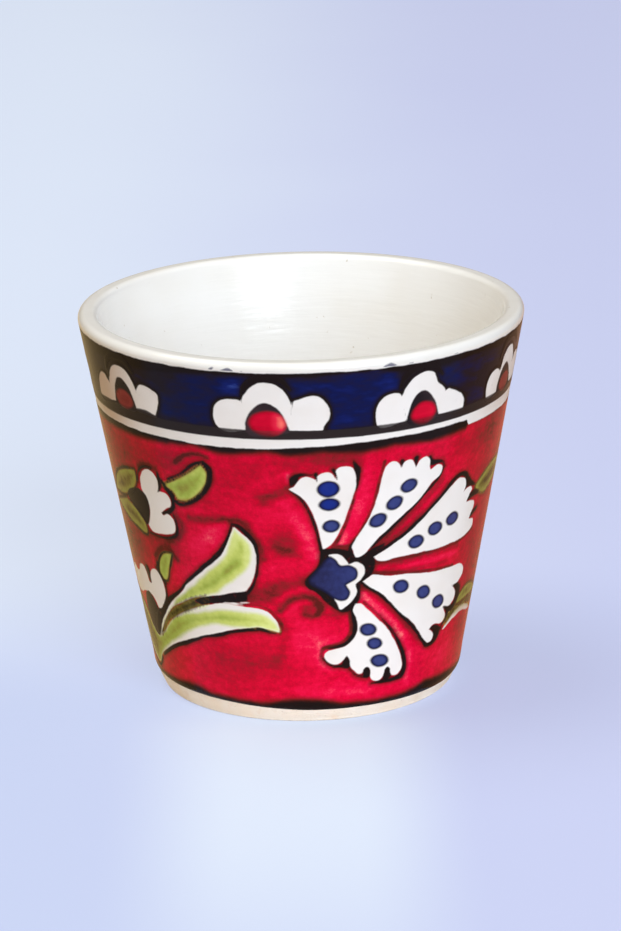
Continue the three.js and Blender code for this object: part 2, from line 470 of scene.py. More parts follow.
# Half daisies of the blue border. Each has a left, middle and right petal, an eye and a red heart, all in
# degrees from its own middle. A heart is (degrees, height, width, height, tone, added pink at the right).
daisies = {
    "wide": {
        "left": [[(-13, 50), (-14.3, 51), (-14.6, 52.5), (-14, 53.8), (-12.3, 54.6), (-9.5, 55),
            (-7.3, 54.9), (-6.3, 54.4)], [(-4, 50.2)]],
        "middle": [[(-6.5, 54.3), (-6.2, 55.3), (-5.5, 56.1), (-4.3, 57), (-2.5, 57.7), (-0.5, 58),
            (1.5, 57.8), (3.7, 57), (5.2, 55.8), (6.2, 54.2)], [(5.4, 50.4), (-5, 50.4)]],
        "right": [[(6.4, 54.1), (6.8, 55), (7.8, 55.2), (9.5, 55.5), (11.2, 55.8), (13.5, 55.4),
            (15.2, 54.2), (15.9, 52.8), (15.6, 51.8), (14.6, 51), (14.2, 50)], [(5, 50.2)]],
        "eye": [[(-6, 49.9), (-5.7, 51.5), (-4.5, 52.9), (-2.5, 54.1), (-0.3, 54.5), (2, 53.8),
            (3.7, 52.5), (4.8, 51), (5.4, 49.9)]],
        "heart": (-0.2, 51.2, 5.8, 4.3, 0.5, 0.42),
    },
    "leaning": {
        "left": [[(-12.3, 50.1), (-12.8, 51.5), (-12.7, 53), (-11.8, 54.2), (-10.2, 54.9), (-8, 55.1),
            (-6.7, 54.9), (-5.8, 54.2)], [(-4, 50.2)]],
        "middle": [[(-5.7, 54.3), (-5.2, 55.3), (-4.3, 56.2), (-3, 57), (-1, 57.6), (1.3, 57.8),
            (3.5, 57.3), (4.2, 56.4), (4.8, 55.6), (6.3, 54.9), (7.2, 54.3), (7.6, 53.6)], [(6, 50.4),
            (-4, 50.4)]],
        "right": [[(7.7, 53.7), (8.6, 54.1), (10, 53.8), (12, 53.3), (14, 52.5), (15.2, 51.5),
            (15.3, 50.6), (15.2, 50)], [(6, 50.2)]],
        "eye": [[(-3.6, 50), (-3.4, 51.5), (-2.6, 53), (-1, 54.3), (0.6, 54.6), (2.5, 54), (4.2, 52.8),
            (5.5, 51.2), (6.2, 50)]],
        "heart": (1.3, 51, 4.6, 3.9, 0.5, 0.06),
    },
    "open": {
        "left": [[(-14.9, 50.8), (-14.5, 52), (-13.5, 53.2), (-12, 54.2), (-10, 54.8), (-8.5, 54.7),
            (-7.5, 54), (-6.5, 53.6)], [(-4, 50.8)]],
        "middle": [[(-6.2, 53.8), (-5.5, 54.8), (-4.5, 56), (-2.5, 56.9), (0, 57.15), (2.5, 56.9),
            (4.5, 55.9), (5.6, 54.6), (6.1, 53.7)], [(4.6, 50.8), (-4.2, 50.8)]],
        "right": [[(6.1, 53.6), (6.8, 54.2), (8, 55), (9.2, 55.1), (12.5, 54.6), (14, 54.1),
            (14.2, 53.3), (13.5, 52), (12.2, 50.4)], [(4, 50.8)]],
        "eye": [[(-4.6, 50.7), (-4.1, 52.2), (-3, 53.9), (-1.3, 55), (0.2, 55.1), (2.2, 54.3),
            (3.7, 52.9), (4.5, 51.3), (4.6, 50.5)]],
        "heart": (-0.1, 51.7, 4.5, 3.2, 0.03, 0),
    },
    "small": {
        "left": [[(-11.7, 50.3), (-12.3, 51.6), (-12, 52.8), (-11, 53.8), (-9, 54.3), (-6.7, 54.2),
            (-5.5, 53.7)], [(-4, 50.4)]],
        "middle": [[(-5.2, 53.8), (-4.7, 54.7), (-4.2, 55.6), (-3, 56.5), (-0.5, 57.1), (1.5, 56.9),
            (3.3, 55.8), (4.5, 54.5), (4.9, 53.7)], [(4, 50.4), (-4, 50.4)]],
        "right": [[(5.1, 53.8), (6.4, 54.8), (9, 54.9), (11.4, 54.2), (12.6, 52.8), (12.2, 51.2),
            (11.6, 50.2)], [(4, 50.4)]],
        "eye": [[(-5.6, 50.2), (-5.4, 51.2), (-4.7, 52.6), (-3.5, 53.8), (-1.5, 54.4), (0.5, 53.8),
            (2.5, 52.5), (4, 51.2), (4.6, 50.2)]],
        "heart": (-0.6, 51.3, 4.2, 3.2, 0.03, 0),
    },
}
# The brushed line over a daisy's middle petal, and its widths
daisyCap = (
    [(-6.4, 55.9), (-5.6, 57.2), (-3, 58.4), (0, 58.8), (3.5, 58.4), (6, 56.8)],
    [0.6, 1, 1.2, 1.3, 1.1, 0.5],
)
cobaltPatchesAndSideShade = [    # where the cobalt is painted lighter or darker: degrees, height, width, height, amount; the dark ones from about 36 to 74 degrees to either side of the front are painted shade
    (-17.5, 57, 5, 3.4, 0.4), (0, 57, 5, 4, 0.2), (15, 55, 9, 6, 0.16), (22.5, 57, 5, 3.4, 0.2),
    (-33, 53, 8, 5, 0.02), (-48, 57.5, 16, 5, -0.4), (-74, 55, 16, 10, -0.5), (-36, 56, 10, 8, -0.25),
    (-24, 57.5, 7, 5, -0.1), (8, 52, 10, 5, 0), (50, 55, 13, 9, -0.22), (62, 54, 9, 9, -0.4),
    (27, 57, 3, 4, -0.5), (40, 57, 7, 4, 0.02), (100, 55, 14, 8, 0.2), (128, 56, 10, 5, -0.2),
    (168, 55, 12, 6, 0.25), (207, 56, 12, 6, -0.25), (247, 55, 12, 6, 0.2),
]
daisyRing = [    # where each daisy stands, and its kind
    (-54.5, "open"), (-9, "wide"), (32, "leaning"), (69.5, "small"), (109, "leaning"), (148, "open"),
    (188, "wide"), (227, "leaning"), (266, "small"),
]


# How bright a heart's red is: its own tone, pink on the right by this much more, and dark along its foot
def heartTones(middle, width, tall, base, pink):
    def tone(places):
        across = (places[:, 0] - middle[0]) * 2 / width
        up = (places[:, 1] - middle[1]) * 2 / tall
        return base + pink * np.clip((across - 0.1) * 1.6, 0, 1) - 0.6 * base * np.clip(-up - 0.15, 0, 1)
    return tone


def paintDaisies(wall):
    for angle, kind in daisyRing:
        flower = daisies[kind]
        wall.face(angle)
        for petal in ["left", "middle", "right"]:
            loop = outline(*flower[petal])
            wall.fill("ink", loop, grow=brushwork["daisyLine"])
            wall.fill("white", loop)
        wall.stroke("ink", *daisyCap)
        wall.fill("eye", outline(*flower["eye"]), grow=brushwork["eyeSpread"])
        turn, height, width, tall, base, pink = flower["heart"]
        tone = heartTones(unroll(turn, height), width, tall, base, pink)
        wall.dab("heart", turn, height, width, tall, 0, tone)
    wall.face(0)
    # patches in the cobalt, with painted shade at the cup's left and right sides
    for patch in cobaltPatchesAndSideShade:
        wall.patch(*patch)


# The carnation's five fringed petals, one after another round its calyx. edge is the white shape, ink the
# brushed outlines with their widths, and dots are (degrees, height, width, height, tilt, tone).
carnation = [
    {
        "edge": [[(6.3, 30.4), (8.8, 31.8), (11.1, 34.4), (13.1, 37.7), (14.4, 41), (14, 42.6),
            (13.1, 43.6), (9.7, 43.7), (8.6, 43.2)], [(9.2, 41.6)], [(8.5, 42.1), (7.8, 42.7), (6.5, 43),
            (4.8, 42.9), (3.5, 42.5)], [(3.7, 41.3)], [(3.2, 41.8), (2.4, 42.15), (0.8, 42.4),
            (-0.9, 42.2), (-1.9, 41.5), (-2.8, 40.75)], [(-4.3, 40.45)], [(-0.7, 39), (1.6, 37),
            (3.4, 34.4), (4.5, 31.9), (5.2, 30.2)]],
        "ink": [([(-3.6, 41.1), (-2.9, 41.9), (-1.8, 42.6), (0.8, 42.8), (2.9, 42.6)], [0.6, 1.4, 0.7,
            0.25, 0.3]), ([(3.1, 42.8), (3.7, 41.4)], [0.75, 0.3]), ([(7.9, 43.4), (8.6, 42.8),
            (9.2, 41.6)], [0.4, 0.75, 0.3]), ([(13.6, 44.5), (14.6, 43.2), (14.9, 41.6), (14.6, 40)],
            [0.5, 1, 0.6, 0.3]), ([(-3.6, 40.1), (-1.1, 38.75), (1, 36.8), (2.8, 34.2), (3.9, 31.8),
            (4.6, 30.1)], [0.3, 0.42, 0.45, 0.45, 0.5])],
        "thin": [([(14.8, 42), (13.9, 38.5), (12.2, 35), (10.2, 32.2), (8.3, 30.5)], [0.5, 0.6, 0.6, 0.6,
            0.8]), ([(8.4, 30.3), (12.8, 30.2)], [0.9, 1.1])],
        "dots": [(6.65, 40.25, 3.55, 2.8, 0, 1), (7, 37.65, 3.35, 2.2, 0, 1), (7.55, 33.95, 2.8, 2.2, 0,
            0.5)],
    },
    {
        "edge": [[(14.5, 29.2), (15.1, 28.5), (18.3, 28.9), (19.2, 29.5), (21.1, 30.7), (28.3, 33.9),
            (35.1, 36.6), (39, 38.9), (41.9, 40.1), (42.2, 41.1), (40.4, 41.7), (39.2, 41.5)],
            [(37.75, 41.1)], [(37.4, 41.6), (36.9, 43), (35.8, 43.5), (33.8, 43.2), (32.4, 42)],
            [(31.9, 42.8), (30.9, 43.5), (29.7, 43.6), (28.4, 43.2), (27.75, 42.3)], [(27.2, 43),
            (26.1, 43.6), (24.7, 43.7), (23.2, 43.2), (22.3, 42.2), (21.9, 41), (21, 38.3), (18.8, 34.8),
            (15.1, 31.6), (13.6, 30.2)]],
        "ink": [([(36.9, 43.4), (38, 42.3), (40, 42.2), (42, 41.9), (43, 41)], [0.4, 1.1, 0.7, 0.5,
            0.4]), ([(42.8, 41), (41.6, 39.7), (37.6, 37.75), (33.4, 35.65), (28, 33.4), (22.7, 31.1),
            (20, 29.9)], [0.4, 0.5, 0.55, 0.6, 0.6]), ([(27.8, 43.5), (27.8, 42.4)], [0.8, 0.25]),
            ([(32.3, 43.6), (32.4, 42.1)], [0.9, 0.25]), ([(15, 31.4), (13.6, 30.3), (13.4, 29)], [0.3,
            0.7, 1]), ([(19, 28.6), (21, 29.2), (24, 29.9)], [1.2, 1, 0.4])],
        "thin": [([(22.5, 44), (21.2, 40.4), (20.1, 37.2), (18, 34.4), (15, 31.5), (13, 30)], [0.5, 0.6,
            0.6, 0.7, 0.7])],
        "dots": [(21.6, 34.2, 3.1, 2.3, 20, 0.45), (26.5, 36.7, 3.1, 2.3, 20, 0.45), (30.8, 39.2, 3.1,
            2.3, 10, 0.45)],
    },
    {
        "edge": [[(22.3, 27.4), (29.4, 27.3), (37, 27.25), (50.5, 27.1), (60.2, 27.6), (63, 28.4),
            (62.9, 29.4), (59.6, 29.9)], [(60.2, 30.6), (61.7, 31.6), (61.6, 32.6), (59.6, 33.1),
            (56.2, 33.2)], [(57.5, 34.4), (58.6, 35), (57.8, 35.6), (54.8, 35.5), (53.6, 35.1)],
            [(54.4, 36.4), (53.8, 37.4), (52.3, 37.9), (50.5, 38.1), (47.1, 37.1), (40.9, 34.6),
            (33.2, 31.5), (25.5, 29.2), (20.9, 28)]],
        "ink": [([(21, 28.45), (29, 30.5), (37, 33.3), (45, 36.65), (48, 38.1), (51, 38.65), (54.1, 38),
            (55.2, 37)], [0.75, 0.85, 0.85, 0.8, 0.85]), ([(53.4, 35.5), (54.9, 36.8), (57.2, 36.3),
            (60, 35.7)], [0.4, 1.9, 1, 0.4]), ([(56, 33.5), (57.6, 33.9), (60, 34.2), (63.2, 34)], [0.4,
            1, 1.2, 0.7]), ([(59.6, 30.3), (61.4, 30.7), (64, 31.2)], [0.4, 0.9, 0.7])],
        "thin": [([(21, 27.05), (29.4, 27), (40, 26.95), (50.5, 26.85), (58, 27.1), (63.6, 27.9)], [0.85,
            0.8, 0.75, 0.7, 0.6, 0.4])],
        "dots": [(35.4, 29.3, 3.15, 2.35, -5, 0.45), (42.5, 30.7, 3.15, 2.35, -5, 0.45), (50, 31.4, 3.15,
            2.35, -5, 0.45)],
    },
    {
        "edge": [[(20.8, 25)], [(25.5, 24.5), (34, 24), (43.2, 23.2), (54.4, 22.7), (60, 22.3),
            (62, 21.4), (61.9, 20.3), (59.8, 19.5), (55.5, 19.3)], [(57.3, 18.6), (58.6, 17.6),
            (58.3, 16.6), (56.3, 15.9), (51.8, 16.3)], [(53.5, 15.1), (54.2, 14.3), (53, 13.5),
            (47.8, 13.65), (45.7, 13.1)], [(47.1, 12.7), (48.7, 11.7), (48.3, 11), (46.4, 10.8),
            (44.4, 11.5), (38.6, 14.8), (30.2, 18.5), (24, 21.7), (19.8, 23.1), (17.5, 24.1)]],
        "ink": [([(17.5, 23.8), (24, 21.4), (30.5, 18.15), (38.4, 14.4), (44, 11.3), (46, 10.4),
            (48.5, 10.5), (50, 11.2)], [0.7, 0.65, 0.65, 0.7, 0.7]), ([(46.5, 13.2), (48.8, 13),
            (50.2, 12.3), (50, 11.1), (48.4, 10.4)], [0.4, 1.1, 1.7, 1.2, 0.8]), ([(50, 12.6),
            (52.4, 12.4)], [1, 0.6]), ([(52, 16.2), (55.4, 15.5), (58, 15.1)], [0.4, 1.3, 1]),
            ([(55.3, 15), (54.9, 13.8), (53.2, 13)], [0.9, 0.6, 0.4]), ([(55.5, 19.25), (58.4, 18.9),
            (60.3, 18), (60.4, 16.6), (58.6, 15.3)], [0.3, 0.9, 1.5, 1.4, 1])],
        "thin": [([(20.8, 25.25), (34, 24.25), (44, 23.45), (54, 22.95)], [0.8, 0.75, 0.7, 0.5]),
            ([(17.4, 22.9), (20, 22.7), (24, 21.2)], [1, 1, 0.5])],
        "dots": [(31.4, 22.1, 3.1, 2.3, -22, 0.45), (41, 20.1, 3.1, 2.3, -22, 0.45), (48.9, 17.5, 3.1,
            2.3, -22, 0.45)],
    },
    {
        "edge": [[(14.9, 19.3), (16.2, 17.8), (16.8, 16.3), (16.4, 15), (15, 14), (12.4, 13.1),
            (8, 12.7), (6, 12.3), (5.5, 11.7), (6.4, 10.9), (8.6, 10.2), (10.6, 10.2), (12.3, 10.9),
            (13.3, 11.6)], [(14.5, 10.6), (14.7, 9.6), (16.2, 8.7), (18.2, 8), (19.3, 8.1), (19.7, 8.8),
            (20.8, 9.1), (22, 8.7), (22.4, 8), (22.4, 7.3), (23.2, 6.6), (25.2, 6.35), (26.9, 6.7),
            (27.5, 7.4), (27.7, 8.2), (28.9, 8.6), (30.1, 8.2), (30.3, 7.4), (31.2, 6.8), (33.2, 6.7),
            (34.8, 7.6), (33.9, 10), (31.8, 12), (28, 14.9), (24.1, 17.1), (19.6, 19.3), (17.4, 20.3)],
            [(15.6, 20.4)]],
        "ink": [([(14, 20.2), (15.4, 18), (16, 16.2), (14.9, 14.5), (12.4, 13.5), (9.6, 13.15), (7, 13)],
            [0.7, 0.8, 0.8, 0.8, 0.7, 0.6, 0.25]), ([(5.2, 11.3), (8.5, 9.9), (12.4, 9.7), (14, 9.3),
            (17, 7.9), (20, 7.4)], [0.4, 0.45, 0.6, 0.4, 0.35, 0.5]), ([(13.4, 11.4), (13.5, 10)], [0.5,
            1.6]), ([(20.8, 8.7), (20.9, 7.7)], [1.3, 1.3]), ([(28.9, 8.2), (29, 6.9)], [1.5, 1.5]),
            ([(23, 6.1), (27, 6.1), (32, 6.1), (35.3, 6.6), (36.1, 8), (35, 10.1), (32.6, 12.4),
            (28.4, 15.3), (24.4, 17.6)], [0.4, 0.7, 0.8, 1.1, 0.8, 0.75, 0.6, 0.4, 0.25])],
        "thin": [([(13.6, 20), (14.9, 17.8), (15.3, 16), (13.4, 14.2), (9, 13.4), (5.2, 12.9),
            (4.6, 11.8)], [1.1, 1.2, 1.2, 1.1, 0.7, 0.9, 0.6]), ([(24.4, 17.6), (21, 19.3),
            (18.4, 20.5)], [0.4, 0.4, 0.4])],
        "dots": [(20.6, 15.6, 3.05, 2.2, -20, 0.45), (23.2, 13, 2.8, 2.1, -20, 0.45), (25.6, 9.85, 3.25,
            2.25, -15, 0.45)],
    },
]
# Brushed ribs of red between the petals, bright above zero and brown below: points, width, strength
ribs = [
    ([(11, 31.2), (12.6, 33), (15.8, 38), (17.4, 42), (18, 45)], 2.6, 0.18),
    ([(10.6, 31), (12, 32.6)], 1.2, 0.2), ([(20, 29.3), (28, 32.6), (36, 35.6), (43, 38.9)], 1.1, -0.28),
    ([(22, 29.3), (30, 31.6), (38, 34.5), (45, 37.5)], 1.1, -0.28),
    ([(21, 26.6), (35, 26.4), (55, 26.3)], 1, -0.25), ([(30, 25.6), (42, 25.4), (55, 25.2)], 1.4, 0.22),
    ([(21, 25.3), (35, 24.8), (50, 24.2)], 1, -0.25),
    ([(18.6, 21.7), (22, 20), (26, 17.9), (30, 15.5), (33, 13.4)], 1.9, 0.4),
    ([(20, 22), (27, 18.9), (34, 15.6), (41, 12)], 0.9, -0.3), ([(33, 13.4), (37, 10.6)], 1.8, 0.15),
    ([(3, 29), (-1, 34), (-6, 38)], 2.2, 0.2),
]
calyx = {
    "blue": [[(7.3, 28.9), (8.9, 28.3), (10.6, 27.2), (13.2, 27.1), (15.6, 26.3), (15.9, 24.8),
        (13.6, 24.05), (12.4, 23.8)], [(13.8, 22.2), (12.6, 21.2), (10.8, 21.1), (9, 21.5), (6, 22.7),
        (3, 23.6), (1.2, 24.2)], [(0.8, 24.9), (2.2, 26), (4.2, 27.2), (6, 28.5), (7.3, 28.9)]],
    "white": [[(6.8, 29.1), (9.4, 29.2), (11.6, 28.4), (13, 27.2)], [(15.4, 27.5), (17.8, 26.7),
        (18.2, 25.4), (17.2, 24.4), (15.4, 23.7)], [(15.9, 22.5), (15, 21.3), (13, 20.2), (10.8, 19.6),
        (9.8, 20.6), (8.9, 21.7), (10.5, 24)], [(9.5, 26), (6.8, 29.1)]],
    "shade": [[(4.4, 30.3), (4.3, 29), (3.9, 28), (3.3, 27), (2.1, 26.35), (0.4, 25.5), (-0.5, 24.7),
        (-0.4, 24.1), (0.5, 23.5), (2.5, 22.9), (4, 22.3), (5.5, 21.4), (7.5, 20.4), (9.5, 19.6),
        (11, 19.15), (13.5, 19.1), (15.5, 19.9), (17, 21.2), (17, 22.8), (17.4, 23.7)], [(20.4, 25),
        (21.4, 27.3), (20.2, 28.7), (17.5, 29), (15, 28.9), (13, 29.6), (9, 30.1), (4.4, 30.3)]],
}


def paintCarnation(wall):
    for petal in carnation:
        wall.fill("white", outline(*petal["edge"]))
        for layer in ["ink", "thin"]:
            for line in petal[layer]:
                wall.stroke(layer, *line)
        for dot in petal["dots"]:
            wall.dab("dot", *dot)
    for rib in ribs:
        wall.brush(*rib)
    wall.fill("ink", outline(*calyx["shade"]))
    wall.fill("white", outline(*calyx["white"]))
    blue = outline(*calyx["blue"])
    left, right = blue[:, 0].min(), blue[:, 0].max()
    wall.fill("dot", blue, tone=lambda at: brushwork["calyxTone"] * (at[:, 0] - left) / (right - left))


# Leaves: the white shape, the green laid inside it, how olive the green is at its tip and its base, and the
# inked lines round them. Some have a black shade, an olive tail, a white sliver, darker streaks or an inked
# rim.
leaves = [
    {
        "white": [[(-21.3, 33.7), (-18.4, 32.4), (-16.3, 31.4), (-15.3, 30), (-15.1, 28.4), (-15.9, 26),
            (-17.5, 24), (-19.2, 22.8)], [(-22.2, 22.4), (-30, 21.3), (-35, 20.7), (-40, 19.9),
            (-45, 18.6), (-50, 17.35), (-55, 15.1), (-60, 12.5), (-65, 9.6)], [(-60, 13.1), (-55, 15.85),
            (-50, 18.3), (-45, 20.2), (-40.5, 22.5), (-36, 24.3), (-31, 26.4), (-27, 28.1), (-24.4, 30),
            (-22.6, 32), (-21.3, 33.7)]],
        "green": [[(-21.2, 33.1), (-18.8, 32), (-17, 30.9), (-16.8, 29.2), (-18.2, 27), (-22.8, 24.6),
            (-26.5, 23.1), (-30, 21.8), (-36, 20.8), (-42, 19.6), (-50, 17.3)], [(-48, 18.7), (-44, 20),
            (-39, 22), (-34, 24.2), (-30, 25.9), (-26.6, 27.4), (-24, 29.2), (-22.4, 31.4),
            (-21.2, 33.1)]],
        "tones": (0.1, 0.6),
        "ink": [([(-41, 22.6), (-33, 25.9), (-28, 28.1), (-24.8, 30.2), (-22.9, 32.2), (-21.6, 34.1)],
            [0.6, 1, 1, 0.8, 0.55, 0.45]), ([(-63, 11.6), (-60, 14.2), (-57, 15.9), (-54, 17.2),
            (-50.5, 18.7), (-46, 20.3), (-41, 22.6)], [2, 2.2, 1.8, 1.4, 0.9, 0.5, 0.55]), ([(-21.6, 34),
            (-20, 33.8), (-17.6, 32.7), (-15.6, 31.4), (-14.7, 29.6), (-14.7, 27.6), (-15.5, 25.4),
            (-17.2, 23.4), (-18.8, 22.4)], [0.4, 0.7, 0.9, 0.8, 0.5, 0.4, 0.45, 0.5])],
        "shade": [[(-18.9, 22.7), (-18.9, 21)], [(-22, 20.6), (-30, 20), (-36, 19.2)], [(-39, 19.6),
            (-36, 20.5), (-30, 21.4), (-22, 22.5), (-18.9, 22.7)]],
        "tail": [[(-34, 20.9), (-40, 19.9), (-45, 18.6), (-50, 17.2), (-55, 15), (-62, 11)],
            [(-60, 11.7), (-55, 14.2), (-50, 15.7), (-45, 17), (-40, 18.2), (-34, 19.6)], [(-34, 20.9)]],
        "streaks": [([(-25.4, 25.6), (-23, 26.6), (-20.8, 27.4)], 1.3, 0.2), ([(-34, 22.4),
            (-29.6, 23.4)], 1.2, 0.06), ([(-19.6, 31), (-19.4, 29.4)], 0.8, 0.12)],
    },
    {
        "white": [[(-9.1, 16), (-9.3, 17), (-11.4, 18.8), (-14.5, 19.75), (-20, 19.95), (-27.8, 20.1),
            (-33, 19.5), (-40, 18.3), (-50, 15.7), (-60, 11.7), (-65, 10.5), (-69, 11.6), (-73, 13.8),
            (-78, 15.3), (-84, 16.2), (-92, 16.4)], [(-87, 12.6), (-81, 8.4), (-76, 6), (-71, 5.2),
            (-66, 7.1), (-60, 8.9), (-50, 11.3), (-40, 13.3), (-30, 15), (-22.2, 16.1), (-15, 16.6),
            (-11.9, 16.3), (-9.1, 15.9)]],
        "green": [[(-9.3, 16.2), (-10.5, 17.4), (-12.2, 18.2), (-15, 18.8), (-20, 18.9), (-30, 18.7),
            (-38, 17.6), (-44, 16.8), (-50, 15.6), (-60, 11.6), (-65, 10.5), (-69, 11.6), (-73, 13.8),
            (-78, 15.3), (-84, 16.2), (-92, 16.4)], [(-87, 13.4), (-81, 9.2), (-76, 6.4), (-71, 5.2),
            (-66, 7.2), (-60, 9.3), (-50, 12.1), (-45, 13.7), (-38, 15.4), (-30, 16.4), (-25, 16.3),
            (-20, 16.5), (-15, 16.6), (-11.9, 16.3), (-9.3, 16.2)]],
        "tones": (0.12, 0.9),
        "ink": [([(-10.4, 15.8), (-12.4, 15.9), (-15, 16.3), (-20, 16), (-26, 15.3), (-31, 14.5),
            (-36, 13.9), (-46, 11.8), (-56, 9.6), (-64, 7.3)], [0.3, 0.5, 0.7, 0.65, 0.6, 0.8, 0.6, 0.9,
            0.8, 0.5]), ([(-66, 6.6), (-71, 4.6), (-76, 5.4), (-81.4, 7.9), (-87.6, 12.2), (-93, 16.4)],
            [0.4, 0.5, 0.7, 0.9, 0.8, 0.4]), ([(-72, 13.9), (-78, 15.9), (-84, 16.8), (-93, 16.6)], [0.3,
            0.5, 0.6, 0.4])],
        "thin": [([(-9, 15.6), (-8.4, 17), (-10.2, 18.7), (-13.4, 20.1), (-17, 20.45), (-22, 20.3)],
            [0.4, 0.8, 0.5, 0.35, 0.35, 0.3])],
        "sliver": ([(-18.3, 20.85), (-22, 20.5), (-27, 20.2)], [0.22, 0.3, 0.35]),
        "streaks": [([(-19, 17.9), (-28, 17.6), (-38, 16.4)], 1, 0.06)],
    },
    {
        "green": [[(-29.5, 43.4), (-28, 42.5), (-28.4, 40.7), (-30.6, 39), (-33.6, 37.6), (-36.6, 36.9),
            (-39, 36.9), (-40.25, 37.9), (-44, 38.8)], [(-40, 39.8), (-33.5, 41.8), (-29.5, 43.4)]],
        "tones": (0.4, 0.5),
        "rim": 0.25,
        "ink": [([(-28.6, 44), (-27, 43), (-27.2, 41.2), (-29.6, 38.8), (-34, 36.9), (-39, 36.1),
            (-41.6, 36.9)], [0.6, 1.1, 1, 0.8, 0.6, 0.6, 0.7]), ([(-44.9, 39.6), (-43, 38.2),
            (-41.2, 37.2)], [0.4, 0.9, 1.2]), ([(-42, 39.9), (-36, 41.6), (-31, 43.6), (-28.6, 44)],
            [0.3, 0.4, 0.5, 0.5])],
    },
    {
        "green": [[(-57, 39.6), (-57, 38.2), (-59.5, 36.3), (-67, 34.3), (-78, 33.6)], [(-73, 36.5),
            (-63.5, 38.9), (-57, 39.6)]],
        "tones": (0.74, 0.72),
        "rim": 0.45,
    },
    {
        "green": [[(-67, 33.5), (-59.5, 32.1), (-56.5, 30.2), (-56.5, 29.3), (-64, 29.6), (-78, 31.8)],
            [(-67, 33.5)]],
        "tones": (0.72, 0.72),
        "rim": 0.4,
    },
    {
        "green": [[(-46, 26.8), (-49, 26.6), (-53.5, 23.8), (-53.5, 22.4), (-51.5, 21.8), (-48, 24.6)],
            [(-46, 26.8)]],
        "tones": (0.42, 0.5),
        "rim": 0.4,
        "ink": [([(-54.4, 24.4), (-54.4, 22), (-51.6, 21.2)], [0.5, 0.8, 0.5])],
    },
    {
        "green": [[(60.6, 35.2), (62.5, 35.9), (65, 36.5), (68, 37.1), (72, 37.6), (80, 37.4), (88, 36)],
            [(78, 34.2), (72, 33.5), (68, 33.2), (64.5, 33.7), (61.5, 34.6)]],
        "tones": (0.76, 0.76),
        "rim": 0.2,
    },
    {
        "green": [[(59.6, 15.6), (63, 16.9), (66.6, 17.6), (70, 17.6), (75, 16.9), (86, 14.6)],
            [(80, 15), (75, 15.2), (70, 15.3), (63, 15.2)]],
        "tones": (0.7, 0.8),
        "rim": 0.3,
    },
    {
        "white": [[(54, 12), (58, 13.5), (62, 14.4), (66, 14.5), (72, 13.8), (80, 12)], [(72, 12.8),
            (66, 13.5), (60, 13)]],
        "green": [[(55, 12.7), (58, 13.7), (62, 14.6), (66, 14.7), (72, 14), (80, 12.4)], [(72, 13.7),
            (66, 14.3), (60, 13.9)]],
        "tones": (0.6, 0.7),
        "tail": [[(54.6, 13.4), (58, 14.6), (62, 15.3), (70, 15.2), (76, 14.9), (84, 13.6)], [(76, 13.6),
            (70, 14.3), (62, 14.5), (56, 12.9)]],
    },
]

# Small white flowers seen from the side: their petals, the dark eye and inked lines
smallFlowers = [
    {
        "white": [[(-55, 36.8), (-54.5, 38.8), (-52.5, 40), (-50, 40.6), (-48, 40.3), (-46.4, 39.2),
            (-46.5, 38), (-47.5, 37), (-48.3, 36.6)], [(-47.5, 37), (-45.6, 37.4), (-43.4, 37.3),
            (-42.1, 36.3), (-42.5, 35.3), (-44.2, 34.8), (-47.3, 33.6)], [(-46.6, 33.4), (-44.5, 33.8),
            (-42.5, 33.2), (-41.9, 32), (-42.6, 30.9), (-45, 30.3), (-49, 29.9), (-54, 30), (-55, 30.8),
            (-54, 31.5)], [(-52.5, 34), (-55, 36.8)]],
        "eye": [(-65.5, 34.2), (-60, 36.3), (-56, 36.6), (-53, 35.6), (-52.5, 34.3), (-53.8, 31.8),
            (-55.5, 30.6), (-58, 31.5), (-62, 32.8)],
        "ink": [([(-45.7, 40.6), (-45.8, 38.6), (-47.6, 37)], [0.4, 1, 0.6]), ([(-43.4, 38),
            (-41.6, 36.9), (-41.6, 35.2), (-43.4, 34.3), (-46.6, 33.7)], [0.4, 0.6, 0.8, 0.9, 0.6]),
            ([(-42, 33.9), (-41.2, 32.2), (-42.2, 30.5), (-45, 29.7), (-49.5, 29.3), (-55, 29.4)], [0.4,
            0.7, 0.5, 0.4]), ([(-56.3, 37.6), (-55, 39.6), (-52, 40.8), (-48.4, 41)], [0.4, 0.4, 0.4])],
    },
    {
        "white": [[(-74, 20.6), (-71, 20.8), (-69, 22), (-67, 22.4), (-65, 22.2), (-63.7, 21.3),
            (-62.9, 19.9), (-61.4, 19.9)], [(-60.6, 21.8), (-58.5, 22.7), (-56.3, 22.8), (-54, 21.8),
            (-53, 20.2), (-53.3, 19), (-55.5, 17.3), (-58.5, 16), (-60, 15.9)], [(-61, 16.8),
            (-63, 17.6), (-66, 17.8), (-70, 17.4), (-75, 16.6), (-79, 16.8), (-81, 18.2), (-80.4, 20),
            (-78, 21), (-75.4, 20.9)]],
        "eye": [(-71, 14.6), (-68.6, 17.4), (-65.5, 17.9), (-62.6, 17.2), (-60.2, 15.6), (-61.5, 12),
            (-65, 10.5), (-69, 11.6)],
        "ink": [([(-62.4, 22.2), (-61.5, 20.2)], [1.3, 0.6]), ([(-55.5, 23.4), (-53, 22), (-52.2, 20.2),
            (-53.2, 18.3), (-55.6, 16.6), (-58.8, 15.2)], [0.4, 0.5, 0.6, 0.4])],
    },
    {
        "white": [[(96.5, 36.6), (95, 38.6), (92, 39.2), (89.6, 38.2), (89.2, 36.8)], [(87.4, 36.6),
            (86, 35), (86.4, 33.2), (88.6, 32.4)], [(88, 31.4), (89.2, 29.8), (92.4, 29.2), (95.6, 30.2),
            (97, 32)]],
        "eye": [(92.6, 34.4), (95, 36.2), (98.6, 36.2), (101.4, 34.4), (98.6, 32.4), (95, 32.4)],
        "ink": [([(87, 37.6), (89, 39), (92.5, 39.8), (96.4, 38.6)], [0.7, 0.5, 0.5, 0.4]), ([(86, 32),
            (88.6, 29.4), (92.5, 28.6), (96.6, 29.8)], [0.6, 0.5, 0.5, 0.4])],
    },
]
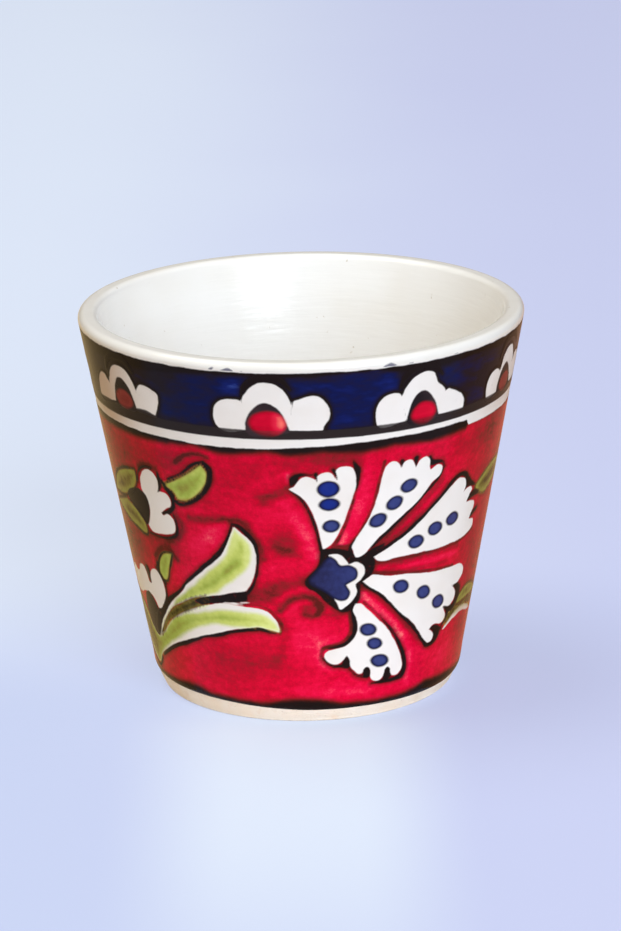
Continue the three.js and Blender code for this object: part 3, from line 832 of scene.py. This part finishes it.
redWashesAndSideShade = [    # places where the red is painted darker or lighter: degrees, height, width, height, amount, tilt; the dark ones from about 50 to 72 degrees to either side of the front are painted shade
    (-6.5, 31, 4.4, 4, -0.62, 20), (-6, 31, 1.7, 1.4, 0.35, 0), (-4, 29.6, 4, 1.6, -0.25, -30),
    (1.6, 20.3, 4, 2.8, -0.42, 0), (-26, 10, 14, 4, -0.12, 5), (6, 45, 13, 2.8, -0.35, 0),
    (-25, 40, 14, 10, -0.12, 0), (-17, 43, 14, 5, -0.05, 0), (-5, 34, 14, 12, 0.09, 0),
    (1, 32.5, 3, 6, 0.14, 15), (-9, 27, 8, 5, 0.06, 0), (-30, 31, 8, 4, 0.14, 35),
    (-34, 28.5, 5, 3, 0.1, 30), (0, 13.5, 11, 9, 0.2, 0), (2, 5.2, 16, 2, 0.1, 0),
    (-20, 11, 16, 7, -0.1, 0), (22, 5.2, 12, 2, 0.16, 0), (43, 8, 8, 6, 0.06, 0), (58, 8, 8, 5, 0.14, 0),
    (-50, 44, 18, 5, -0.15, 0), (-40, 43, 10, 5, -0.14, 0), (60, 44, 14, 5, -0.25, 0),
    (-44, 27, 8, 3, -0.12, 0), (-49, 28.6, 10, 1.6, -0.2, 0), (10, 18.9, 3.4, 2, -0.3, 0),
    (68, 30, 12, 60, -0.28, 0), (-72, 35, 12, 50, -0.22, 0), (-60, 42, 12, 7, -0.2, 0),
    (-58, 27, 12, 5, -0.2, 0), (100, 25, 14, 9, -0.2, 0), (95, 10, 12, 5, 0.2, 0),
    (86, 42, 16, 5, 0.15, 0),
]
sideShadeOnWhites = [    # painted shade that browns the whites at the left and right sides of the front: degrees, height, width, height, amount
    (-66, 52, 13, 13, 1.05), (-58, 57, 7, 5, 0.3), (-64, 47.6, 12, 3, 0.35), (66, 51, 10, 10, 0.3),
    (62, 48, 14, 2, 0.12), (66, 13.8, 9, 3, 0.9),
]
redBrushes = [    # lines brushed in darker or lighter red over the ground: points, width, amount
    ([(-18, 22.4), (-13, 22.9), (-7, 24), (-2, 24.6)], 2.8, -0.36),
    ([(-18, 21.4), (-13, 21.6), (-9, 22.4)], 1.4, -0.2),
    ([(-12, 38.5), (-8, 39.5), (-4, 40.5)], 2.2, -0.4),
    ([(-36, 34), (-28, 34.3), (-23, 34.6), (-19, 34.6), (-16, 32.6), (-13.7, 30.5), (-13, 28.4)], 1.5,
        -0.45), ([(-38, 29), (-32, 30.6), (-27, 32.4), (-24.5, 33.2)], 2.6, 0.14),
    ([(-8.4, 19.8), (-4.5, 21.6), (1, 22.1), (4, 21), (4.4, 19.6), (2, 18.6), (-0.5, 19)], 1.3, -0.45),
    ([(-10, 18.6), (-6, 19.4), (-3, 20.6), (1, 20.8), (2, 19.8)], 1, 0.18),
    ([(-9, 21.6), (-4, 23.2), (2, 23.3), (5.4, 21.6)], 1, 0.18),
    ([(-9.6, 18), (-7.9, 16.8), (-7.5, 14.6), (-8.6, 12.4), (-11, 10.4)], 2.2, -0.26),
    ([(-38, 43.2), (-34.5, 44.6), (-30, 45.2), (-27, 44.8)], 0.9, -0.5),
    ([(-54, 40.6), (-50, 41.4), (-46.5, 41.2)], 1.3, -0.45),
    ([(-40.5, 33.6), (-39, 32.2), (-41, 30.4), (-46, 29.3)], 1.6, -0.4),
    ([(-54.6, 25.4), (-51, 27.2), (-47, 27.6), (-43.5, 26)], 1.2, -0.4),
    ([(4, 14.5), (3.6, 12.4), (4.6, 10.4), (8, 9.3)], 1.2, 0.16),
    ([(-4.4, 42.8), (-4.6, 41.6)], 0.9, 0.4), ([(37.6, 10), (38.4, 7.4), (37, 5.4)], 1.4, 0.26),
]


def paintLeaves(wall):
    for leaf in leaves:
        if "shade" in leaf:
            wall.fill("ink", outline(*leaf["shade"]))
        if "white" in leaf:
            wall.fill("white", outline(*leaf["white"]))
        if "sliver" in leaf:
            wall.stroke("white", *leaf["sliver"])
        green = outline(*leaf["green"])
        tip, base = green[:, 0].max(), green[:, 0].min()
        ends = leaf["tones"]
        wall.fill("leaf", green, tone=lambda at: np.interp((tip - at[:, 0]) / (tip - base), [0, 1], ends))
        if "rim" in leaf:
            wall.rim("ink", green, leaf["rim"])
        for layer in ["ink", "thin"]:
            for line in leaf.get(layer, []):
                wall.stroke(layer, *line)
        for streak in leaf.get("streaks", []):
            wall.brush(*streak, "leafTone")
    for leaf in leaves:
        if "tail" in leaf:
            tail = outline(*leaf["tail"])
            wall.fill("leaf", tail, brushwork["tailSpread"], tone=1.0, reach=brushwork["tailReach"])
    for flower in smallFlowers:
        wall.fill("white", outline(*flower["white"]))
        wall.fill("eye", roundOutline(flower["eye"]))
        for line in flower["ink"]:
            wall.stroke("ink", *line)
    # washes of red, with painted shade at the cup's left and right sides
    for patch in redWashesAndSideShade:
        wall.patch(*patch)
    # painted shade on the whites at the cup's left and right sides
    for stain in sideShadeOnWhites:
        wall.patch(*stain, layer="stain")
    for line in redBrushes:
        wall.brush(*line)


# Everything that is painted, in the painter's order; the carnation with its leaves comes twice round the cup
def paintCup(turns, heights):
    wall = PaintedWall(turns, heights)
    paintBands(wall)
    paintDaisies(wall)
    for angle in [0, 180]:
        wall.face(angle)
        paintCarnation(wall)
        paintLeaves(wall)
    return wall.layers


def keepLayers(mesh, layers):
    for name, values in layers.items():
        full = np.full(len(mesh.vertices), -farAway)
        full[:len(values)] = values
        mesh.attributes.new(name, "FLOAT", "POINT").data.foreach_set("value", full)


def srgb(red, green, blue):
    shares = np.array([red, green, blue]) / 255
    linear = np.where(shares <= 0.04045, shares / 12.92, ((shares + 0.055) / 1.055) ** 2.4)
    return (*linear.tolist(), 1.0)


# Wraps a node's output so that maths on it reads as a plain expression
class Signal:
    def __init__(self, shader, socket):
        self.shader = shader
        self.socket = socket

    def maths(self, operation, first, second):
        return self.shader.add("ShaderNodeMath", {"operation": operation}, [first, second])

    def __add__(self, other):
        return self.maths("ADD", self, other)

    def __radd__(self, other):
        return self.maths("ADD", other, self)

    def __sub__(self, other):
        return self.maths("SUBTRACT", self, other)

    def __rsub__(self, other):
        return self.maths("SUBTRACT", other, self)

    def __mul__(self, other):
        return self.maths("MULTIPLY", self, other)

    def __rmul__(self, other):
        return self.maths("MULTIPLY", other, self)

    # 0 below the first value, 1 above the second, and a smooth ramp between them
    def ramp(self, low, high):
        settings = {"interpolation_type": "SMOOTHSTEP"}
        return self.shader.add("ShaderNodeMapRange", settings, [self, low, high, 0.0, 1.0])

    def biggest(self, other):
        return self.maths("MAXIMUM", self, other)

    def smallest(self, other):
        return self.maths("MINIMUM", self, other)


class Shader:
    def __init__(self, name):
        self.material = bpy.data.materials.new(name)
        self.material.use_nodes = True
        self.tree = self.material.node_tree
        self.surface = self.tree.nodes["Principled BSDF"]
        self.place = self.add("ShaderNodeTexCoord", {}, [], "Object")

    # Adds one node: its settings first, then a value or a link for each socket in turn, by place or by name
    def add(self, kind, settings, inputs, output=0):
        node = self.tree.nodes.new(kind)
        for key, value in settings.items():
            if key == "stops":
                ramp = node.color_ramp
                while len(ramp.elements) < len(value):
                    ramp.elements.new(0.5)
                for element, (position, colour) in zip(ramp.elements, value):
                    element.position = position
                    element.color = colour
            else:
                setattr(node, key, value)
        named = inputs.items() if isinstance(inputs, dict) else enumerate(inputs)
        for key, value in named:
            if isinstance(value, Signal):
                self.tree.links.new(value.socket, node.inputs[key])
            elif value is not None:
                node.inputs[key].default_value = value
        return Signal(self, node.outputs[output])

    def layer(self, name):
        return self.add("ShaderNodeAttribute", {"attribute_name": name}, [], "Fac")

    # Noise with about one feature per this many millimetres, squeezed up the cup by flat and taken from
    # another place by shift
    def noise(self, size, detail=2.0, flat=1.0, shift=0.0):
        place = self.place
        if flat != 1.0 or shift:
            place = self.add("ShaderNodeVectorMath", {"operation": "MULTIPLY_ADD"},
                             [place, (1.0, 1.0, flat), (shift, shift, shift)])
        inputs = {"Vector": place, "Scale": 1 / (size * mm), "Detail": detail}
        return self.add("ShaderNodeTexNoise", {}, inputs)

    # Lays one colour over another where the mask is 1; a fixed colour is red, green and blue up to 255
    def blend(self, under, over, mask):
        under, over = [side if isinstance(side, Signal) else srgb(*side) for side in (under, over)]
        return self.add("ShaderNodeMix", {"data_type": "RGBA"}, {0: mask, 6: under, 7: over}, 2)

    def colours(self, signal, stops):
        stops = [(at, srgb(*colour)) for at, colour in stops]
        return self.add("ShaderNodeValToRGB", {"stops": stops}, [signal])

    # Gives the surface its colour, roughness and relief. look says how deep the relief is, in millimetres,
    # and how much the surface shines.
    def finish(self, colour, roughness, relief, look):
        sockets = self.surface.inputs
        sockets["Specular IOR Level"].default_value = look["specular"]
        self.tree.links.new(colour.socket, sockets["Base Color"])
        self.tree.links.new(roughness.socket, sockets["Roughness"])
        inputs = {"Strength": 1.0, "Distance": look["relief"] * mm, "Height": relief}
        bump = self.add("ShaderNodeBump", {}, inputs)
        self.tree.links.new(bump.socket, sockets["Normal"])
        return self.material

    # Puts another shader in the place of the principled one
    def instead(self, signal):
        self.tree.nodes.remove(self.surface)
        self.tree.links.new(signal.socket, self.tree.nodes["Material Output"].inputs["Surface"])
        return self.material


# Colours of the painted outside, as red, green and blue up to 255, and how rough, shiny and uneven it is
paint = {
    "reds": [(0.0, (92, 24, 20)), (0.16, (142, 24, 34)), (0.3, (172, 8, 38)), (0.45, (200, 0, 42)),
             (0.6, (222, 0, 54)), (0.76, (234, 12, 70)), (0.9, (240, 60, 90)), (1.0, (248, 110, 112))],
    "blues": [(0.0, (30, 20, 28)), (0.2, (26, 20, 46)), (0.5, (10, 18, 70)), (0.8, (14, 28, 100)),
              (1.0, (46, 66, 142))],
    "ink": (26, 15, 12),
    "thinInk": (92, 26, 20),
    "footing": (44, 36, 36),
    "white": (240, 236, 236),
    "shadedWhite": (232, 224, 219),
    # the whites' painted shade at the cup's left and right sides
    "paintedShadeWhite": (214, 190, 172),
    "greens": [(0.0, (222, 232, 148)), (0.25, (200, 212, 112)), (0.5, (164, 182, 80)), (0.72, (146, 144, 64)),
               (0.88, (112, 100, 40)), (1.0, (64, 58, 20))],
    "blueDots": [(0.0, (34, 32, 66)), (0.22, (44, 50, 102)), (0.5, (56, 66, 126)), (1.0, (22, 42, 130))],
    "dotRim": (24, 22, 50),
    "eye": (30, 22, 25),
    "paleEye": (58, 44, 48),
    "hearts": [(0.0, (140, 46, 46)), (0.12, (112, 8, 22)), (0.3, (158, 2, 30)), (0.5, (208, 0, 46)),
               (0.72, (230, 36, 70)), (0.88, (248, 116, 106)), (1.0, (250, 150, 130))],
    "rough": 0.2,
    "specular": 0.09,
    "relief": 0.03,
}


# Brushed colour under clear glaze. Every painted ring uses the same layers, so colour runs over their joints.
def paintedGlaze(name, dulling):
    s = Shader(name)
    broad = s.noise(8, 3.0)
    streaks = s.noise(3.2, 4.0, flat=3.2)
    fine = s.noise(0.9, 3.0)
    grain = s.noise(0.28, 1.0)
    wobble = (s.noise(2.4, 2.0, shift=3.0) - 0.5) * 0.36 + (s.noise(0.5, 1.0, shift=7.0) - 0.5) * 0.08

    # the grounds follow the wash layer, which also holds painted shade at the cup's left and right sides
    wash = s.layer("wash") + 0.52 + (broad - 0.5) * 0.5 + (streaks - 0.5) * 0.35 + (fine - 0.5) * 0.4
    wash = wash + (grain - 0.5) * 0.22
    ink = s.layer("ink") + wobble
    redGround = s.colours(wash, paint["reds"])
    blueSide = s.layer("blueSide") + wobble * 1.4
    blueTone = s.layer("wash") + 0.42 + (broad - 0.5) * 0.8 + (streaks - 0.5) * 0.9
    blueGround = s.colours(blueTone - (1.0 - blueSide.ramp(-0.2, 1.3)) * 0.25, paint["blues"])
    redSide = s.layer("redSide") + wobble * 1.4
    redGround = s.blend(paint["thinInk"], redGround, redSide.ramp(-0.1, 1.1))
    colour = s.blend(paint["ink"], redGround, redSide.ramp(-0.45, 0.45))
    colour = s.blend(colour, blueGround, blueSide.ramp(-0.35, 0.35))
    halo = ink.ramp(-0.85, 0.08) * (0.6 + (streaks - 0.5) * 1.3)
    thinInk = s.blend(paint["ink"], paint["thinInk"], redSide.ramp(-0.3, 0.3))
    colour = s.blend(colour, thinInk, halo)
    dry = (0.85 + (streaks - 0.5) * 1.4).smallest(1.0)
    thin = (s.layer("thin") + wobble).ramp(-0.22, 0.22) * dry
    colour = s.blend(colour, paint["thinInk"], thin)
    inked = ink.ramp(-0.18, 0.16) * (fine * 1.6 + 0.35).smallest(1.0)
    colour = s.blend(colour, paint["ink"], inked)
    whites = s.blend(paint["white"], paint["shadedWhite"], (broad - 0.4).ramp(0.0, 0.35) * 0.5)
    # painted shade: the whites turn brownish at the cup's left and right sides
    whites = s.blend(whites, paint["paintedShadeWhite"], s.layer("stain").smallest(1.0))
    white = (s.layer("white") + wobble).ramp(-0.13, 0.13)
    colour = s.blend(colour, whites, white)
    footing = (s.layer("footing") + wobble * 0.5).ramp(-0.18, 0.12)
    footing = footing * (0.95 + (streaks - 0.5) * 0.4).smallest(0.98)
    colour = s.blend(colour, paint["footing"], footing)
    leaf = s.layer("leaf") + wobble * 1.5
    leafTone = s.layer("leafTone") + leaf.ramp(0.2, 1.9) * 0.26 - 0.06
    leafTone = leafTone + (broad - 0.5) * 0.4 + (fine - 0.5) * 0.3
    # the black lines were drawn last, so green only covers them where they lie under white
    greenMask = leaf.ramp(-0.6, 0.4) * (1.0 - inked * (1.0 - white) * 0.95)
    colour = s.blend(colour, s.colours(leafTone, paint["greens"]), greenMask)
    dot = s.layer("dot") + wobble * 0.6
    blue = s.colours(s.layer("dotTone") + (fine - 0.5) * 0.35, paint["blueDots"])
    blue = s.blend(paint["dotRim"], blue, dot.ramp(0.05, 0.6))
    colour = s.blend(colour, blue, dot.ramp(-0.2, 0.16))
    eyes = s.blend(paint["eye"], paint["paleEye"], (broad - 0.45).ramp(0.0, 0.2))
    colour = s.blend(colour, eyes, (s.layer("eye") + wobble).ramp(-0.16, 0.16))
    heart = s.layer("heart") + wobble * 0.6
    heartTone = s.layer("heartTone") + (streaks - 0.5) * 0.2 - (1.0 - heart.ramp(0.0, 0.7)) * 0.14
    heartMask = heart.ramp(-0.28, 0.34) * (1.0 - footing * 0.45)
    colour = s.blend(colour, s.colours(heartTone, paint["hearts"]), heartMask)
    roughness = paint["rough"] + dulling + inked * 0.1 + (broad - 0.5) * 0.08 + (fine - 0.5) * 0.05
    relief = inked * 0.5 + (s.noise(2.6, 2.0) - 0.5) * 0.8 + (fine - 0.5) * 0.15 - white * 0.15
    return s.finish(colour, roughness, relief, paint)


# White glaze of the inside and the lip
insideGlaze = {
    "white": (243, 240, 237),
    "cream": (236, 230, 222),
    "speck": (190, 172, 150),
    "smudge": (28, 34, 82),
    "rough": 0.16,
    "specular": 0.4,
    "relief": 0.05,
}


def whiteGlaze(name):
    s = Shader(name)
    broad = s.noise(14, 2.0)
    fine = s.noise(1.1, 2.0)
    turning = s.noise(7, 2.0, flat=9.0)
    colour = s.blend(insideGlaze["white"], insideGlaze["cream"], (broad - 0.35).ramp(0.0, 0.4) * 0.5)
    # specks come in loose groups
    specks = s.noise(0.8, 0.0, shift=11.0).ramp(0.79, 0.84) * s.noise(5, 1.0, shift=5.0).ramp(0.5, 0.6)
    colour = s.blend(colour, insideGlaze["speck"], specks * 0.5)
    smudge = (s.layer("ink") + (fine - 0.5) * 0.4).ramp(-0.1, 0.2)
    colour = s.blend(colour, insideGlaze["smudge"], smudge * 0.8)
    roughness = insideGlaze["rough"] + (broad - 0.5) * 0.06 + (fine - 0.5) * 0.04
    relief = (turning - 0.5) * 0.9 + (s.noise(3.0, 2.0) - 0.5) * 0.5 - specks * 0.4
    return s.finish(colour, roughness, relief, insideGlaze)


# Bare fired clay of the foot and underside
bareClay = {
    "light": (246, 237, 229),
    "warm": (243, 226, 208),
    "stain": (226, 186, 156),
    "pore": (190, 162, 138),
    "rough": 0.78,
    "specular": 0.25,
    "relief": 0.08,
}


def firedClay(name):
    s = Shader(name)
    broad = s.noise(5, 3.0)
    fine = s.noise(0.5, 3.0)
    turning = s.noise(1.1, 3.0, flat=6.0)
    colour = s.blend(bareClay["light"], bareClay["warm"], broad.ramp(0.35, 0.75) * 0.8)
    stains = s.noise(2.2, 3.0, shift=4.0).ramp(0.6, 0.78)
    colour = s.blend(colour, bareClay["stain"], stains * 0.25)
    pores = s.noise(0.33, 1.0, shift=9.0).ramp(0.68, 0.8)
    colour = s.blend(colour, bareClay["pore"], pores * 0.3)
    roughness = bareClay["rough"] + (fine - 0.5) * 0.2
    relief = (turning - 0.5) * 1.0 + (fine - 0.5) * 0.7 - pores * 0.8
    return s.finish(colour, roughness, relief, bareClay)


def settle(piece, node, slotName, material):
    piece.data.materials.append(material)
    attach(piece, "root")
    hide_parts(node)


# The same radius or height at every angle, for each point of a section
def allRound(values, sides):
    return np.repeat(values[:, None], sides, 1)


clay = {
    "sides": 360,
    "fine": 8,    # how finely a section's round corners are cut where they show
    "hiddenFine": 2,
}


def makeClay():
    outside = undersideSection(clay["fine"])
    inside = insideSection(cup["coat"], clay["hiddenFine"])[::-1][1:]
    section = np.vstack([outside, inside])
    seen = section[:-1, 1] < edges["bareFoot"] + cup["bareShown"]
    seen &= np.arange(len(section) - 1) < len(outside)
    radius, height = [allRound(values, clay["sides"]) for values in section.T]
    floorUnder = cup["recessDepth"] + cup["floorThickness"] - cup["coat"]
    piece = turnedMesh("turnedClayCup", radius, height, seen, (2, 2), [cup["recessDepth"], floorUnder])
    settle(piece, "clay_body", "biscuit", firedClay("bareFiredClay"))


makeClay()
print("clay body made")

glaze = {
    "sides": 720,
    "fine": 5,
    "hiddenFine": 2,
    "sink": 0.05,    # how far its surface lies under the CAD's
    "smudgedBeyond": 34,    # the radius from which the lip's outer edge can be smudged
}
# Dark blue that ran up on to the lip: points and widths
lipSmudges = [
    ([(-23.2, 59.6), (-22.4, 59.95)], [0.6, 0.4]),
    ([(-20.4, 59.5), (-18.8, 59.8), (-17.4, 59.6)], [0.4, 0.7, 0.4]),
    ([(20.4, 59.5), (22.4, 59.85), (24.2, 59.5)], [0.4, 0.8, 0.4]),
    ([(-15.2, 59.6), (-14.8, 59.7)], [0.3, 0.2]), ([(27.6, 59.6), (28.6, 59.66)], [0.3, 0.2]),
    ([(41.4, 59.6), (42.4, 59.64)], [0.3, 0.2]),
]


def makeInsideGlaze():
    inner = insideSection(cup["coat"] - cup["bond"], glaze["hiddenFine"])
    outer = insideSection(glaze["sink"], glaze["fine"])[::-1]
    section = np.vstack([inner, outer])
    # the glaze is thin over the lip's outer edge, where it meets the painted line's surface
    section[len(inner), 0] = clayRadius(edges["lip"]) + cup["coat"] - cup["glazeSink"]
    seen = np.arange(len(section) - 1) >= len(inner) - 1
    radius, height = [allRound(values, glaze["sides"]) for values in section.T]
    floorTop = cup["recessDepth"] + cup["floorThickness"]
    middle = [floorTop - cup["coat"] + cup["bond"], floorTop - glaze["sink"]]
    piece = turnedMesh("insideAndLipGlaze", radius, height, seen, (2, 2), middle)
    wall = PaintedWall(np.repeat(anglesRound(glaze["sides"])[None], len(section), 0), height)
    for smudge in lipSmudges:
        wall.stroke("ink", *smudge)
    ink = np.where(radius.ravel() > glaze["smudgedBeyond"], wall.layers["ink"], -farAway)
    keepLayers(piece.data, {"ink": ink})
    settle(piece, "inside_glaze", "white_glaze", whiteGlaze("whiteInsideGlaze"))


makeInsideGlaze()
print("inside glaze made")

coats = {
    "sides": 720,
    "raisedInk": 0.05,
    "raisedColour": 0.025,
    "raisedEdge": 0.3,    # width over which the raised paint rises
    "taper": 0.8,    # height over which the glaze thins out at its lower edge
    "thinnest": 0.08,
}
# Painted rings: name, CAD node, its slot, its lower and upper edge, rows of faces, map strips, and how much
# duller than the glaze it is
paintedRings = [
    ("rimLine", "rim_line", "black_line", "borderTop", "lip", 3, (1, 12), 0.04),
    ("cobaltBorder", "cobalt_border", "cobalt_glaze", "borderBottom", "borderTop", 38, (1, 5), 0.0),
    ("borderLine", "border_line", "black_line", "whiteTop", "borderBottom", 3, (1, 12), 0.04),
    ("whiteLine", "white_line", "white_glaze", "whiteBottom", "whiteTop", 6, (1, 12), 0.0),
    ("fieldLine", "field_line", "black_line", "fieldTop", "whiteBottom", 3, (1, 12), 0.04),
    ("redField", "red_field", "red_glaze", "fieldBottom", "fieldTop", 128, (2, 2), 0.0),
    ("footLine", "foot_line", "black_line", "bareFoot", "fieldBottom", 5, (1, 12), 0.04),
]


def makeRing(name, node, slotName, low, high, rows, strips, dulling):
    turns = anglesRound(coats["sides"])[None]
    bottom = np.full(turns.shape, edges[low])
    if low == "bareFoot":
        bottom = edgeRound(turns, "glazeFoot")
    share = np.linspace(0, 1, rows + 1)[:, None]
    height = bottom * (1 - share) + edges[high] * share
    layers = paintCup(np.repeat(turns, rows + 1, 0), height)
    # the surface stands a little proud where ink lies, and least where the white ground shows
    ink, bare = [np.clip(layers[layer] / coats["raisedEdge"] + 0.5, 0, 1) for layer in ["ink", "white"]]
    raised = np.maximum(coats["raisedInk"] * ink * (1 - bare), coats["raisedColour"] * (1 - bare))
    outer = clayRadius(height) + cup["coat"] - cup["glazeSink"] + raised.reshape(height.shape)
    if low == "bareFoot":
        # the glaze's lower edge thins out on to the bare clay
        thin = np.clip((height - bottom) / coats["taper"], 0, 1)
        thinnest = clayRadius(height) + coats["thinnest"]
        outer = thinnest + (outer - thinnest) * np.sqrt(thin)
    levels = np.array([borderRow, *fieldRows[::-1]])
    levels = levels[(levels > edges[low]) & (levels < edges[high])]
    innerHeight = np.vstack([height[-1:], allRound(levels, coats["sides"]), height[:1]])
    radius = np.vstack([outer, clayRadius(innerHeight) + cup["bond"]])
    seen = np.arange(len(radius)) < rows
    piece = turnedMesh(name, radius, np.vstack([height, innerHeight]), seen, strips)
    keepLayers(piece.data, layers)
    settle(piece, node, slotName, paintedGlaze(name + "Paint", dulling))


for ring in paintedRings:
    makeRing(*ring)
    print("painted ring made:", ring[0])

# The studio, in metres. Colours are red, green and blue up to 255, but the world's is plain shares.
studio = {
    "floorWidth": 6.0,
    "floorLeft": (226, 236, 255),
    "floorRight": (206, 212, 246),
    "floorFront": (204, 215, 246),
    "floorPaintedLight": (226, 236, 254),
    "bounceNear": (230, 221, 208),
    "bounceFar": (120, 88, 64),
    "floorGlow": 0.7,
    "world": (1.0, 0.75, 0.6),
    "worldStrength": 0.16,
    "cardLeft": (215, 185, 132),
    "cardRight": (200, 152, 118),
    "cardEdges": (0.02, 0.9, -0.016, 0.9, 0.0005),    # inner, outer, front and back edge, and height
    "lampAim": (0, 0, 0.03),
}
lamps = [    # name, place, width, power, colour
    ("key", (0.445, -1.101, 0.559), 0.9, 15.0, (0.88, 0.99, 1.09)),
    ("low", (0.420, -1.170, 0.150), 0.25, 1.6, (0.9, 0.99, 1.07)),
    ("warmLeft", (-0.823, -0.145, 1.026), 0.8, 2.0, (1.23, 0.91, 0.3)),
    ("top", (-0.480, 0.085, 1.235), 0.9, 8.8, (0.95, 1.03, 1.05)),
]


# A flat sheet of the studio between two sides, a front and a back, at a height
def makeSheet(name, material, left, right, front, back, level):
    mesh = bpy.data.meshes.new(name)
    corners = [(left, front, level), (right, front, level), (right, back, level), (left, back, level)]
    mesh.from_pydata(corners, [], [(0, 1, 2, 3)])
    mesh.materials.append(material)
    sheet = inScene(name, mesh)
    return sheet


# The floor's blue drifts from left to right and towards the front, with a paler place painted close before
# the cup as a pool of painted light over the shade the cup leaves there
def makeFloor():
    s = Shader("paleFloor")
    sideways = s.add("ShaderNodeSeparateXYZ", {}, [s.place], "X")
    away = s.add("ShaderNodeSeparateXYZ", {}, [s.place], "Y")
    near = away * -1.0
    drift = (s.noise(160, 2.0) - 0.5) * 0.05
    toFront = (near - drift).ramp(-0.06, 0.02)
    # painted light: a paler patch just before the cup's foot
    middle = sideways.ramp(-0.032, -0.01) * (1.0 - sideways.ramp(0.006, 0.026))
    middle = middle * near.ramp(0.004, 0.03) * (1.0 - near.ramp(0.06, 0.16))
    left = s.blend(studio["floorLeft"], studio["floorFront"], toFront)
    seen = s.blend(left, studio["floorRight"], (sideways + drift).ramp(-0.07, 0.07))
    seen = s.blend(seen, studio["floorPaintedLight"], middle)
    cameraRay = s.add("ShaderNodeLightPath", {}, [], "Is Camera Ray")
    glossyRay = s.add("ShaderNodeLightPath", {}, [], "Is Glossy Ray")
    throughRay = s.add("ShaderNodeLightPath", {}, [], "Is Transmission Ray")
    shown = cameraRay.biggest(glossyRay).biggest(throughRay)
    # the light that the floor throws up comes mostly from a pale sheet close round the cup
    reach = s.add("ShaderNodeVectorMath", {"operation": "LENGTH"}, [s.place], "Value")
    bounce = s.blend(studio["bounceNear"], studio["bounceFar"], reach.ramp(0.05, 0.2))
    colour = s.blend(bounce, seen, shown)
    lit = s.add("ShaderNodeBsdfDiffuse", {}, [colour])
    glow = s.add("ShaderNodeEmission", {}, [seen, 1.0])
    mixed = s.add("ShaderNodeMixShader", {}, [cameraRay * studio["floorGlow"], lit, glow])
    half = studio["floorWidth"] / 2
    makeSheet("floor", s.instead(mixed), -half, half, -half, half, 0)


# Warm brown cards that glow by themselves lie on the floor on both sides of the foot; only the glaze's
# reflections see them, which gives the cup's sides a painted warm reflection
def makeCards():
    inner, outer, front, back, level = studio["cardEdges"]
    for name, side in [("cardLeft", -1), ("cardRight", 1)]:
        s = Shader(name)
        # the card glows by itself, for a painted reflection in the glaze
        glow = s.add("ShaderNodeEmission", {}, [srgb(*studio[name]), 1.0])
        card = makeSheet(name, s.instead(glow), inner * side, outer * side, front, back, level)
        card.visible_camera = False
        card.visible_diffuse = False
        card.visible_shadow = False


def softLamp(name, place, size, power, colour):
    light = bpy.data.lights.new(name, "AREA")
    light.shape = "DISK"
    light.size = size
    light.energy = power
    light.color = colour
    lamp = inScene(name, light)
    lamp.location = place
    lamp.rotation_euler = (Vector(studio["lampAim"]) - Vector(place)).to_track_quat("-Z", "Y").to_euler()


def makeWorld():
    world = bpy.data.worlds.new("studio")
    world.use_nodes = True
    ground = world.node_tree.nodes["Background"]
    ground.inputs["Color"].default_value = (*studio["world"], 1.0)
    ground.inputs["Strength"].default_value = studio["worldStrength"]
    bpy.context.scene.world = world


makeFloor()
makeWorld()
makeCards()
for lamp in lamps:
    softLamp(*lamp)
print("floor and light made")

# The camera looks down a little on the cup, as the photograph does, and its picture is 621 by 931. Angles are
# in radians, the lens in millimetres and the other lengths in metres.
view = {
    "lens": 158.07,
    "distance": 0.6488,
    "pitch": 0.2968,
    "roll": -0.0201,
    "right": -0.000914,
    "up": -0.00435,
    "aimHeight": 0.030,
}


def makeCamera():
    pitch, roll = view["pitch"], view["roll"]
    forward = Vector((0, math.cos(pitch), -math.sin(pitch)))
    up = Vector((0, math.sin(pitch), math.cos(pitch)))
    right = Vector((1, 0, 0))
    turnedRight = right * math.cos(roll) + up * math.sin(roll)
    turnedUp = up * math.cos(roll) - right * math.sin(roll)
    place = Vector((0, 0, view["aimHeight"])) - forward * view["distance"]
    place -= turnedRight * view["right"] + turnedUp * view["up"]
    data = bpy.data.cameras.new("camera")
    data.sensor_fit = "VERTICAL"
    data.sensor_height = 36.0
    data.lens = view["lens"]
    data.clip_start = 0.01
    camera = inScene("camera", data)
    axes = Matrix((turnedRight, turnedUp, -forward)).transposed().to_4x4()
    camera.matrix_world = Matrix.Translation(place) @ axes
    bpy.context.scene.camera = camera


makeCamera()
bpy.context.scene.view_settings.view_transform = "Standard"
print("camera set")
